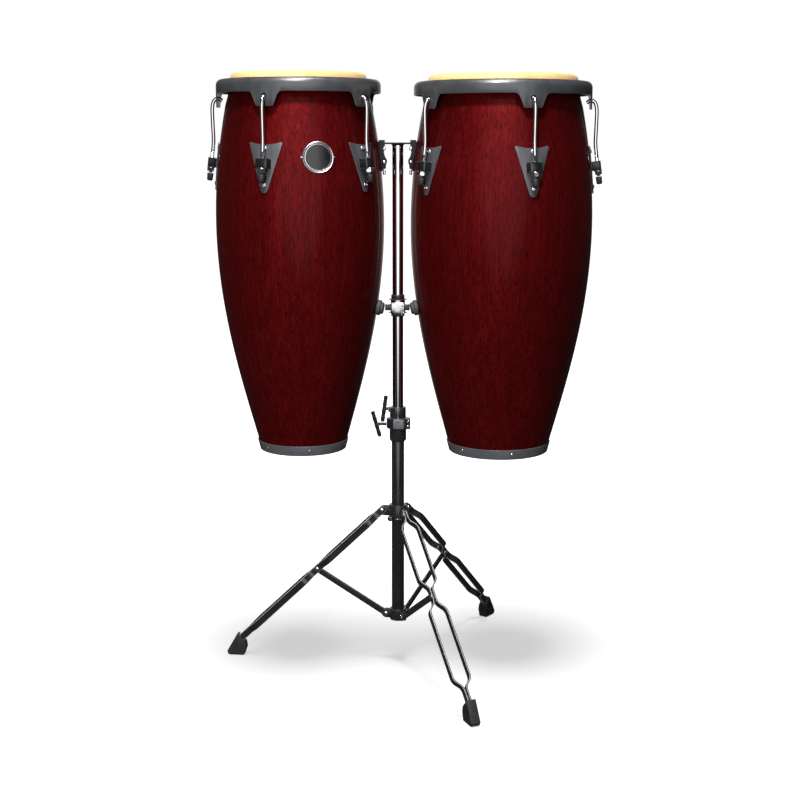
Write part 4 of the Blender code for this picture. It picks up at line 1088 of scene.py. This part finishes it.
def build_post():
    """Draws the post, the tube it slides in and everything clamped to them."""
    place = post_place()
    tube, bar = upper_post_meshes(place)
    add("chrome_post", tube, "post", "post_chrome", ["upper_post"], place)
    add("crossbar", bar, "post", "bracket_black", matrix=place)
    add("black_tube", lower_tube_mesh(), "stand_base", "tube_black", ["lower_tube"], place)
    dark, bright = support_clamp_meshes()
    high = place @ shift(z=SUPPORT_Z)
    add("support_clamp_block", bright, "support", "clamp_chrome", ["support_clamp"], high)
    add("support_clamp_collars", dark, "support", "clamp_black", matrix=high)
    screw = screw_mesh(0.0022, 0.0012)
    for number, z in enumerate((-0.0065, 0.0065), start=1):
        spot = facing((0.0103, -0.0300, z))
        add(f"support_clamp_screw_{number}", screw, "support", "nut_chrome", matrix=high @ spot)
    for side in ("left", "right"):
        node = f"{side}_bumper"
        add(f"{side}_rubber_bumper", softened(node, 0.0006, 3, 20.0), "support", "bumper_rubber", [node])
    dark, plate = height_clamp_meshes()
    add("height_clamp_body", dark, "stand_base", "clamp_black", ["height_clamp"], place)
    add("height_clamp_plate", plate, "stand_base", "clamp_black", matrix=place, finish="clamp_face")
    for number, z in enumerate(CLAMP_SCREW_HEIGHTS, start=1):
        spot = facing((0.0195, -0.0160, z))
        add(f"height_clamp_screw_{number}", screw, "stand_base", "nut_chrome", matrix=place @ spot)
    add("memory_lock_ring", memory_lock_mesh(), "lock", "clamp_black", ["memory_lock"], place)
    upper = Matrix.Translation(JOINTS["lock_bolt_turn"]["pos_m"])
    lower = Matrix.Translation(JOINTS["clamp_bolt_turn"]["pos_m"])
    bolt = t_bolt_mesh(LOCK_BOLT_LENGTH, LOCK_BOLT_LEAN)
    add("memory_lock_bolt", bolt, "lock_bolt", "t_bolt_black", ["memory_lock_t_bolt"], upper)
    bolt = t_bolt_mesh(CLAMP_BOLT_LENGTH, CLAMP_BOLT_LEAN)
    add("height_clamp_bolt", bolt, "clamp_bolt", "t_bolt_black", ["height_clamp_t_bolt"], lower)


# ---------------------------------------------------------------- tripod

LEG_LENGTH = math.dist(LEG_PIVOT, LEG_END)
LEG_TILT = math.atan2(LEG_END[0] - LEG_PIVOT[0], LEG_PIVOT[1] - LEG_END[1])


def strap_line():
    """One strap seen edge-on, as (distance down the leg, offset), with every bend rounded."""
    joint, closed, spread = BRACE_JOINT_DISTANCE, STRAP_CLOSED, STRAP_SPREAD
    corners = [Vector(point) for point in (
        (-STRAP_TOP, closed), (PINCH_HALF, closed), (PINCH_HALF + STRAP_BEND, spread),
        (joint - PINCH_HALF - STRAP_BEND, spread), (joint - PINCH_HALF, closed),
        (joint + PINCH_HALF, closed), (joint + PINCH_HALF + STRAP_BEND, spread),
        (LEG_LENGTH - FOOT_PINCH, spread), (LEG_LENGTH - FOOT_PINCH + STRAP_BEND, closed),
        (LEG_LENGTH, closed),
    )]
    down = (corners[1] - corners[0]).normalized()
    line = [corners[0] + down * distance for distance in (0.0, 0.0006, 0.0018, 0.0035, 0.0060)]
    for before, corner, after in zip(corners, corners[1:], corners[2:]):
        near = corner + (before - corner).normalized() * STRAP_ROUND
        far = corner + (after - corner).normalized() * STRAP_ROUND
        for step in range(7):
            t = step / 6
            line.append(near * (1 - t) ** 2 + corner * 2 * t * (1 - t) + far * t ** 2)
    line.append(corners[-1])
    return line


def strap_mesh(mirror):
    """Flat strap with a rounded top end, running down -Z from the pivot; its eased edges get a light grey
    that paints the highlight they catch.
    """
    line = strap_line()
    rows = []
    half, edge = STRAP_THICKNESS / 2, 0.0006
    for i, point in enumerate(line):
        way = (line[min(i + 1, len(line) - 1)] - line[max(i - 1, 0)]).normalized()
        out = Vector((-way.y, way.x))
        from_top = point.x + STRAP_TOP
        reach = STRAP_WIDTH / 2
        if from_top < reach:
            reach *= math.sqrt(max(0.05, 1 - (1 - from_top / reach) ** 2))
        section = [
            (-half, -reach + edge), (-half + edge, -reach), (half - edge, -reach), (half, -reach + edge),
            (half, reach - edge), (half - edge, reach), (-half + edge, reach), (-half, reach - edge),
        ]
        row = []
        for a, b in section:
            spot = point + out * a
            row.append((mirror * spot.y, b, -spot.x))
        rows.append(row)
    mesh = from_grid(rows, caps=True)
    # The eased edge faces take the light grey that paints their highlight.
    for finish in ("strap_black", "strap_edge_painted_highlight"):
        mesh.materials.append(FINISHES[finish])
    for number, face in enumerate(mesh.polygons[:len(rows[0]) * (len(rows) - 1)]):
        face.material_index = 1 - number % 2
    return mesh


def rivet_mesh(length, radius, head_radius, head_height):
    """Rivet along X, through the middle, with a domed head at each end."""
    profile = dome(head_radius, head_height, 5, length) + [(radius, length)]
    mirrored = [(reach, -along) for reach, along in reversed(profile)]
    return placed(lathe(profile + mirrored, SMALL_STEPS), turned_by(90, "Y"))


def leg_joint_distance():
    along = BRACE_JOINT_DISTANCE / LEG_LENGTH
    return tuple(top + (end - top) * along for top, end in zip(LEG_PIVOT, LEG_END))


def brace_mesh():
    """Flat bar with rounded ends, running up +Z from its lower pivot."""
    joint = leg_joint_distance()
    length = math.dist(BRACE_PIVOT, joint)
    outline = arc(0.0, 0.0, BRACE_HALF_WIDTH, 180, 12) + arc(0.0, length, BRACE_HALF_WIDTH, 0, 12)
    return eased(prism(outline, -BAR_HALF, BAR_HALF, "X"), 0.0005)


def foot_mesh():
    """Rubber boot: a wedge with grooves on its sides, a bevelled base and a notch in front."""
    outline = (
        (0.3185, 0.0), (0.3500, 0.0), (0.3540, 0.0070), (0.3322, 0.0453), (0.3148, 0.0273), (0.3133, 0.0160),
    )
    half = 0.0096
    boot = eased(prism(outline, -half, half, "X"), 0.0020, 3)
    cutters = []
    for side in (-1, 1):
        for near in (0.0, 0.0042):
            middle = side * (half + 0.002)
            stripe = block((middle - 0.0030, -0.0260, -0.0007), (middle + 0.0030, -0.0080, 0.0007))
            cutters.append(placed(stripe, shift(y=-0.3190 - near, z=0.0050 + near) @ turned_by(58, "X")))
        dent_place = shift(x=side * 0.0062, y=-0.3530, z=0.0070) @ turned_by(90, "X")
        cutters.append(placed(cylinder(0.0014, -0.002, 0.002, 20), dent_place))
    notch = block((-0.0028, -0.3570, 0.0150), (0.0028, -0.3460, 0.0172))
    base = block((-0.02, -0.3600, 0.0046), (0.02, -0.3515, 0.0052))
    return cut(boot, *cutters, notch, base)


def collar_mesh():
    """Ring of the casting that slides on the tube, with a groove round its lower part."""
    bore = TUBE_RADIUS + GAP
    bottom, top = COLLAR_BOTTOM, COLLAR_TOP
    return lathe([
        (0.0175, top - 0.0010), (0.0171, top - 0.0003), (0.0163, top), (bore, top), (bore, bottom),
        (0.0160, bottom), (0.0171, bottom + 0.0004), (0.0175, bottom + 0.0012), (0.0175, 0.3020),
        (0.0170, 0.3026), (0.0170, 0.3034), (0.0175, 0.3040),
    ])


def collar_bolt_mesh():
    """Round-headed bolt standing out of the collar along +Z."""
    return lathe([
        (0.0, 0.0105), (0.0022, 0.0105), (0.0026, 0.0100), (0.0048, 0.0100), (0.0054, 0.0094),
        (0.0054, 0.0030), (0.0048, 0.0024), (0.0034, 0.0020), (0.0034, -0.0010), (0.0, -0.0010),
    ], 32)


def plate_outline(near, far, bottom, top):
    """A tab that stands out from the axis and ends in a half circle."""
    radius = (top - bottom) / 2
    return [(near, bottom), *arc(far - radius, bottom + radius, radius, -90, 12), (near, top)]


def hub_mesh():
    """Cap on the foot of the tube."""
    bore = TUBE_RADIUS + GAP
    return lathe([
        (0.0, 0.0909), (bore, 0.0909), (bore, HUB_TOP), (0.0155, HUB_TOP), (0.0161, 0.1117),
        (0.0163, 0.1110), (0.0163, 0.0902), (0.0159, 0.0893), (0.0150, 0.0890), (0.0, 0.0890),
    ])


def build_tripod():
    """Draws the collar, the hub and the three legs with their braces and boots."""
    place = post_place()
    strap_shapes = {-1: strap_mesh(-1), 1: strap_mesh(1)}
    brace_shape = brace_mesh()
    foot_shape = foot_mesh()
    pin = rivet_mesh(STRAP_CLOSED + STRAP_THICKNESS / 2, PIN_RADIUS, PIN_HEAD_RADIUS, PIN_HEAD_HEIGHT)
    hub_pin = rivet_mesh(HUB_EAR_OUTSIDE, HUB_PIN_RADIUS, HUB_PIN_HEAD_RADIUS, HUB_PIN_HEAD_HEIGHT)
    add("sliding_collar", collar_mesh(), "collar", "clamp_black", ["leg_collar"], place)
    bolt_place = place @ turned_by(COLLAR_BOLT_ANGLE) @ facing((0.0, -0.0172, COLLAR_BOLT_Z))
    add("collar_bolt", collar_bolt_mesh(), "collar", "clamp_black", matrix=bolt_place, finish="block_black")
    add("foot_hub", hub_mesh(), "stand_base", "clamp_black", ["lower_hub"], place)
    tab = eased(prism(plate_outline(*COLLAR_TAB), -BAR_HALF, BAR_HALF, "X"), 0.0004)
    ear = prism(plate_outline(*HUB_EAR), HUB_EAR_INSIDE, HUB_EAR_OUTSIDE, "X")
    other = placed(ear.copy(), shift(x=-HUB_EAR_INSIDE - HUB_EAR_OUTSIDE))
    ears = together(eased(ear, 0.0006), eased(other, 0.0006))
    joint = leg_joint_distance()
    brace_tilt = math.atan2(joint[0] - BRACE_PIVOT[0], joint[1] - BRACE_PIVOT[1])
    tilt = Matrix.Rotation(brace_tilt, 4, "X")
    for number in (1, 2, 3):
        leg_body, brace_body = f"leg_{number}_body", f"brace_{number}_body"
        axis = JOINTS[f"leg_{number}_fold"]["axis"]
        turned = place @ turned_by(math.degrees(math.atan2(axis[1], axis[0])))
        leg = turned @ shift(y=-LEG_PIVOT[0], z=LEG_PIVOT[1]) @ Matrix.Rotation(-LEG_TILT, 4, "X")
        brace = turned @ shift(y=-BRACE_PIVOT[0], z=BRACE_PIVOT[1])
        for letter, mirror in (("a", -1), ("b", 1)):
            node = [f"leg_{number}"] if mirror == 1 else ()
            add(f"leg_{number}_strap_{letter}", strap_shapes[mirror], leg_body, "strap_black", node, leg)
        joint_place = leg @ shift(z=-BRACE_JOINT_DISTANCE)
        for piece, mesh, body, slot, node, matrix in (
            (f"leg_{number}_top_rivet", pin, leg_body, "nut_chrome", None, leg),
            (f"leg_{number}_joint_rivet", pin, leg_body, "nut_chrome", None, joint_place),
            (f"leg_{number}_boot", foot_shape, leg_body, "foot_rubber", f"foot_{number}", turned),
            (f"brace_{number}_bar", brace_shape, brace_body, "strap_black", f"brace_{number}", brace @ tilt),
            (f"collar_tab_{number}", tab, "collar", "clamp_black", None, turned),
            (f"hub_ears_{number}", ears, "stand_base", "clamp_black", None, turned),
            (f"hub_rivet_{number}", hub_pin, "stand_base", "nut_chrome", None, brace),
        ):
            add(piece, mesh, body, slot, [node] if node else (), matrix)


# ---------------------------------------------------------------- stage, light and camera

def aimed(place, target):
    """Frame at a place with its -Z axis pointing at a target."""
    way = (Vector(target) - Vector(place)).normalized()
    return Matrix.Translation(place) @ way.to_track_quat("-Z", "Y").to_matrix().to_4x4()


def card(name, centre, width, height, strength):
    """A white board that only reflections see, brightest in the middle."""
    corners = ((-1.0, -1.0), (1.0, -1.0), (1.0, 1.0), (-1.0, 1.0))
    board = prism([(a * width / 2, b * height / 2) for a, b in corners], -0.005, 0.005)
    layer = board.uv_layers.new(name="across")
    for loop in board.loops:
        spot = board.vertices[loop.vertex_index].co
        layer.data[loop.index].uv = (2 * spot.x / width, 2 * spot.y / height)
    board.transform(aimed(centre, CARD_TARGET))
    material = bpy.data.materials.new(name)
    material.use_nodes = True
    tree = material.node_tree
    tree.nodes.clear()
    place = tree.nodes.new("ShaderNodeUVMap")
    gap = tree.nodes.new("ShaderNodeVectorMath")
    gap.operation = "LENGTH"
    tree.links.new(place.outputs["UV"], gap.inputs[0])
    fade = tree.nodes.new("ShaderNodeMapRange")
    fade.interpolation_type = "SMOOTHSTEP"
    for key, value in (("From Min", 1.0), ("From Max", 0.45), ("To Min", 0.0), ("To Max", strength)):
        fade.inputs[key].default_value = value
    tree.links.new(gap.outputs["Value"], fade.inputs["Value"])
    glow = tree.nodes.new("ShaderNodeEmission")
    tree.links.new(fade.outputs["Result"], glow.inputs["Strength"])
    tree.links.new(glow.outputs[0], tree.nodes.new("ShaderNodeOutputMaterial").inputs["Surface"])
    board.materials.append(material)
    obj = linked(name, board)
    obj.visible_camera = False
    obj.visible_diffuse = False
    obj.visible_shadow = False


def area_light(name, place, target, size, power, glossy):
    """A round lamp aimed at a target."""
    light = bpy.data.lights.new(name, "AREA")
    light.shape = "DISK"
    light.size = size
    light.energy = power
    obj = linked(name, light)
    obj.matrix_world = aimed(place, target)
    obj.visible_glossy = glossy
    return obj


def build_stage():
    """White floor, lamps, reflection cards and the sky around them."""
    floor_mesh = lathe([(0.0, 0.0), (4.0, 0.0), (40.0, 0.0), (40.0, -0.02), (0.0, -0.02)], 96)
    finish = Finish("studio_floor")
    cloud = finish.noise((1.2, 1.2, 1.2), 2.0)
    colour = finish.colours(cloud, (0.3, (0.90, 0.90, 0.91)), (0.7, (0.93, 0.93, 0.935)))
    material = finish.done(colour=colour, roughness=0.9, specular=0.0)
    away = finish.add("ShaderNodeVectorMath", operation="LENGTH")
    finish.join(finish.place, away.inputs[0])
    far = finish.span(away.outputs["Value"], *FLOOR_GLOW_SPAN, *FLOOR_GLOW)
    finish.fill(finish.shader, {"Emission Color": (1.0, 1.0, 1.0, 1.0), "Emission Strength": far})
    floor_mesh.materials.append(material)
    floor = linked("studio_floor", floor_mesh)
    floor.visible_glossy = False
    floor.visible_diffuse = False

    off_floor = bpy.data.collections.new("off_floor")
    off_floor.objects.link(floor)
    off_floor.collection_objects[0].light_linking.link_state = "EXCLUDE"
    for name, settings in OBJECT_LIGHTS.items():
        area_light(name, *settings).light_linking.receiver_collection = off_floor
    area_light("overhead", *OVERHEAD_LIGHT)
    for name, settings in CARDS.items():
        card(name, *settings)

    world = bpy.data.worlds.new("studio")
    bpy.context.scene.world = world
    world.use_nodes = True
    tree = world.node_tree
    tree.nodes.clear()

    def background(strength):
        node = tree.nodes.new("ShaderNodeBackground")
        node.inputs["Color"].default_value = (1.0, 1.0, 1.0, 1.0)
        node.inputs["Strength"].default_value = strength
        return node.outputs[0]

    def choose(test, first, second):
        node = tree.nodes.new("ShaderNodeMixShader")
        tree.links.new(test, node.inputs[0])
        tree.links.new(first, node.inputs[1])
        tree.links.new(second, node.inputs[2])
        return node.outputs[0]

    rays = tree.nodes.new("ShaderNodeLightPath")
    unseen = choose(rays.outputs["Is Glossy Ray"], background(WORLD_DIFFUSE), background(WORLD_GLOSSY))
    seen = choose(rays.outputs["Is Camera Ray"], unseen, background(WORLD_SEEN))
    tree.links.new(seen, tree.nodes.new("ShaderNodeOutputWorld").inputs["Surface"])


def build_camera():
    place = post_place().translation
    camera = bpy.data.cameras.new("camera")
    camera.sensor_width = 36.0
    camera.lens = CAMERA_LENS
    camera.clip_end = 200.0
    obj = linked("camera", camera)
    obj.location = place + Vector(CAMERA_PLACE)
    obj.rotation_euler = [math.radians(turn) for turn in CAMERA_TURN]
    bpy.context.scene.camera = obj


build_drum("left")
build_drum("right")
build_post()
build_tripod()
build_stage()
build_camera()
bpy.context.scene.view_settings.view_transform = "Standard"
